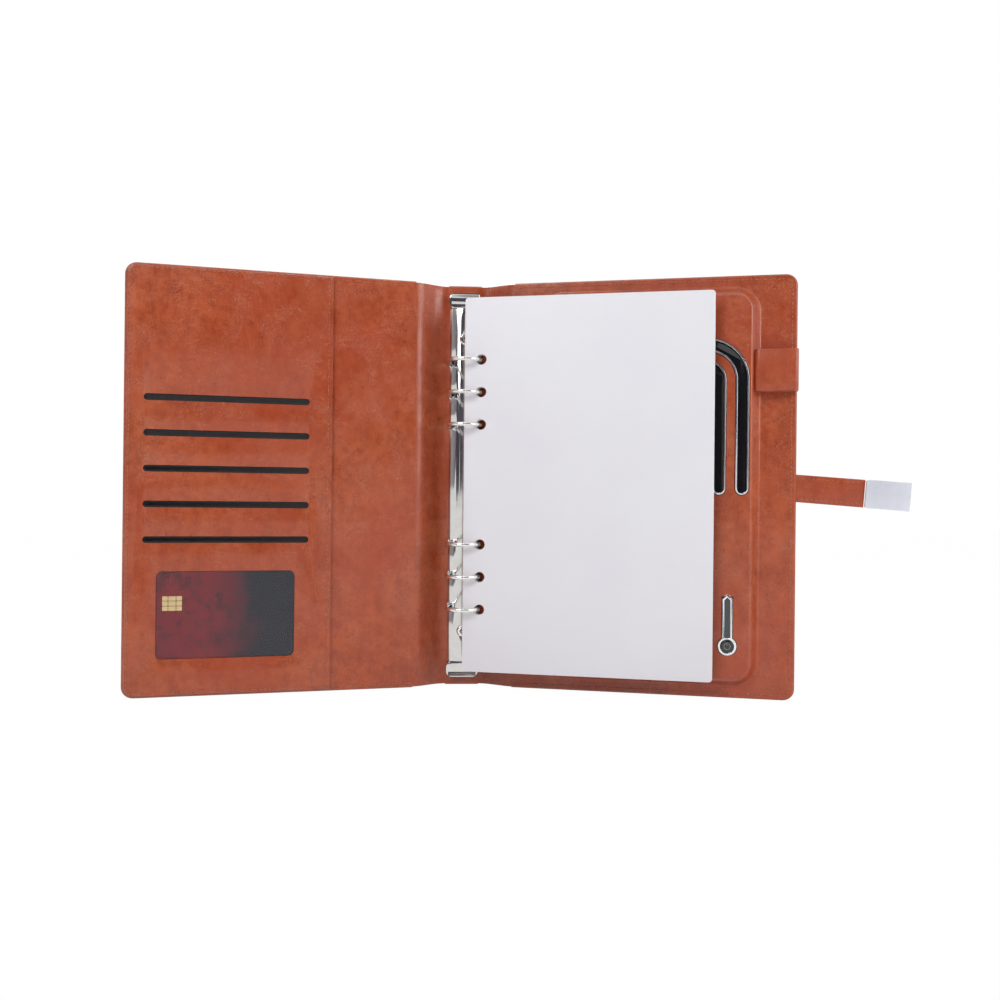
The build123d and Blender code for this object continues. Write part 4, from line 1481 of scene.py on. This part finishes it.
@dataclass
class Closure:
    """Strap with sewn edges and its metal clip."""

    case: Case
    width: float = 15.6
    length: float = 37.55
    leather: float = 1.8
    droop: float = 4.3
    below: float = 0.6
    gap: float = 0.7

    def matrix(self) -> Matrix:
        """Frame of the strap: along it, across it and to the reader."""
        panel = self.case.back_panel()
        at = Matrix.Translation(
            Vector((self.case.width, self.case.height / 2 - self.below, -self.case.thick / 2)) * MM
        )
        return panel.matrix() @ at @ Matrix.Rotation(math.radians(-self.droop), 4, "Z")

    def put(self, piece: bpy.types.Object, finish: Finish, slot: str, body: str, angle: float = 40.0) -> None:
        """Place a piece that was made in the strap's frame."""
        piece.matrix_world = self.matrix()
        Bench.settle(piece)
        Bench.finish(piece, finish, slot, None, angle)
        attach(piece, body)

    def strap(self) -> None:
        """Leather strap with rounded edges and a row of stitches along each side."""
        start = -0.7
        half, deep = self.width / 2, self.leather / 2
        piece = Bench.block("folded_strap", (start, -half, -deep), (self.length - self.gap, half, deep))
        Bench.bevel(piece, lambda a, b: abs(a.y - b.y) < NEAR and abs(a.z - b.z) < NEAR, 0.55, 4)
        Bench.ease(piece, 0.15, 2, 50)
        piece.matrix_world = self.matrix()
        Bench.settle(piece)
        Bench.finish(piece, Finish.LINING, "case_leather", None, 40)
        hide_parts("closure_strap")
        ends = [tuple(self.matrix() @ Vector((along * MM, 0, 0))) for along in (-0.4, 2.4)]
        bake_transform(piece)
        sewing = Stitching(2.6, 1.9, 0.45, 0.36)
        rows = []
        for level in (deep, -deep):
            for across in (-half + 1.9, half - 1.9):
                rows.append(sewing.run("row", [(2.2, across), (self.length - 3.2, across)], level))
        self.put(Bench.gather("strap_stitches", rows), Finish.THREAD, "case_leather", "strap", 60)

    def clip(self) -> None:
        """Folded sheet-metal clip with its pressed border."""
        piece = Bench.softened("strap_clip", "metal_clip", 0.35, 3)
        Bench.finish(piece, Finish.CLIP, "clip_metal", None, 40)

    def build(self) -> None:
        """Build the strap and the clip."""
        self.strap()
        self.clip()


@dataclass
class Carried:
    """CAD nodes whose shape stays and which get a finish."""

    finishes: dict = field(default_factory=lambda: {
        Finish.GREY_BOARD: ("back_cover_board", "front_cover_board", "spine_board"),
        Finish.BODY: ("power_bank_tray", "power_bank_lid", "indicator_post", "button_switch"),
        Finish.CELL: ("battery_cells",),
        Finish.BOARD: ("circuit_board", "socket_board"),
        Finish.LIGHT: ("charge_lights",),
        Finish.SOCKET: ("usb_output_shell", "usb_input_shell", "keeper_plate"),
        Finish.GLOSS: ("usb_output_tongue", "usb_input_tongue"),
        Finish.SMOKED: ("indicator_window",),
        Finish.CASE: ("strap_tongue",),
        Finish.NICKEL: ("clip_magnet",),
        Finish.FABRIC: ("pocket_liner",),
        Finish.FILM: ("window_film",),
        Finish.CARD: ("window_card",),
    })

    def build(self) -> None:
        """Dress every node that is still shown."""
        chosen = {name: finish for finish, names in self.finishes.items() for name in names}
        for name, node in frame["nodes"].items():
            if node.hide_render:
                continue
            finish = chosen[name]
            node.data.materials.clear()
            node.data.materials.append(finish.made())
            log.info("dressed %s", name)


@dataclass
class Studio:
    """Pale floor, soft lamps and the camera at the photograph's place."""

    focal: float = 35.568
    place: tuple = (-12.41, -602.22, 111.2)
    pitch: float = 0.092
    yaw: float = 3.308
    roll: float = 0.574
    room: tuple = (-0.9, 0.5, 0.22, 0.62)
    white_share: float = 0.99
    target: tuple = (0, 0, 0.12)

    def camera(self) -> None:
        """Camera at the photograph's viewing angle."""
        data = bpy.data.cameras.new("camera")
        data.sensor_width, data.lens = 36.0, self.focal
        data.clip_start, data.clip_end = 0.01, 20.0
        camera = bpy.data.objects.new("camera", data)
        bpy.context.scene.collection.objects.link(camera)
        pitch, yaw, roll = (math.radians(a) for a in (self.pitch, self.yaw, self.roll))
        turn = Matrix.Rotation(-yaw, 4, "Z") @ Matrix.Rotation(math.pi / 2 + pitch, 4, "X")
        camera.matrix_world = (
            Matrix.Translation(Vector(self.place) * MM) @ turn @ Matrix.Rotation(roll, 4, "Z")
        )
        bpy.context.scene.camera = camera

    def lamp(self, name: str, place: Sequence[float], size: float, power: float) -> None:
        """Add a soft area lamp that points at the book; lengths in metres."""
        data = bpy.data.lights.new(name, "AREA")
        data.shape, data.size, data.energy = "DISK", size, power
        lamp = bpy.data.objects.new(name, data)
        bpy.context.scene.collection.objects.link(lamp)
        lamp.location = place
        lamp.rotation_euler = (Vector(self.target) - Vector(place)).to_track_quat("-Z", "Y").to_euler()

    def floor(self) -> None:
        """White floor that keeps a soft shadow."""
        Bench.clear()
        bpy.ops.mesh.primitive_plane_add(size=8.0, location=(0, 0, -0.0005))
        floor = bpy.context.object
        floor.name = "floor"
        s = Shader("white_floor")
        shade = s.node("ShaderNodeBsdfDiffuse", {}, {"Color": (0.9, 0.9, 0.9, 1.0)})
        glow = s.node("ShaderNodeEmission", {}, {"Color": (1.0, 1.0, 1.0, 1.0), "Strength": 1.0})
        mixed = s.node("ShaderNodeMixShader", {}, {0: s.seen() * self.white_share, 1: shade, 2: glow})
        floor.data.materials.append(s.close(mixed))

    def cards(self) -> None:
        """Dark card in front and pale card at the left, which steel and leather mirror."""
        upright = math.pi / 2
        for name, place, turn, scale, grey in (
            ("front_card", (0, -1.5, 0.76), (upright, 0, 0), (3.4, 1.3, 1.0), rgb(88, 84, 96)),
            ("left_card", (-1.7, -0.75, 0.76), (upright, 0, upright), (1.5, 1.3, 1.0), rgb(215, 209, 213)),
        ):
            Bench.clear()
            bpy.ops.mesh.primitive_plane_add(size=1.0, location=place, rotation=turn)
            card = bpy.context.object
            card.name, card.scale = name, scale
            card.data.materials.append(Shader(name).surface({"Base Color": grey, "Roughness": 0.9}))
            card.visible_camera = False

    def world(self) -> None:
        """Light all round, dimmer from the dark side of the room in front, and white to the camera."""
        s = Shader("studio", world=True)
        where = s.node("ShaderNodeTexCoord", {}, {}, "Generated")
        depth = s.node("ShaderNodeSeparateXYZ", {}, [where], "Y")
        strength = s.node("ShaderNodeMapRange", {"interpolation_type": "SMOOTHSTEP"}, [depth, *self.room])
        soft = s.node("ShaderNodeBackground", {}, {"Color": (0.97, 0.98, 1.0, 1.0), "Strength": strength})
        white = s.node("ShaderNodeBackground", {}, {"Color": (1.0, 1.0, 1.0, 1.0), "Strength": 1.0})
        mixed = s.node("ShaderNodeMixShader", {}, {0: s.seen(), 1: soft, 2: white})
        bpy.context.scene.world = s.close(mixed, "World")

    def build(self) -> None:
        """Set up the studio."""
        bpy.context.scene.view_settings.view_transform = "Standard"
        self.camera()
        self.floor()
        self.cards()
        self.world()
        self.lamp("key", (-0.55, -0.95, 0.85), 0.6, 5.8)
        self.lamp("fill", (0.95, -0.75, 0.5), 0.7, 4.8)
        self.lamp("rear", (0.0, 0.9, 0.7), 0.8, 5.0)


def main() -> None:
    """Build every sub-assembly in order."""
    logging.basicConfig(level=logging.INFO, format="%(message)s")
    Studio().build()
    case = Case()
    for part in (
        FrontCover("front_cover", case.front_panel(), -1, case),
        BackCover("back_cover", case.back_panel(), 1, case),
        Spine(case),
        RingMechanism(),
        Pages(case),
        Closure(case),
        Carried(),
    ):
        part.build()
        log.info("built %s", type(part).__name__)
    Bench.clear()


if __name__ == "__main__":
    main()
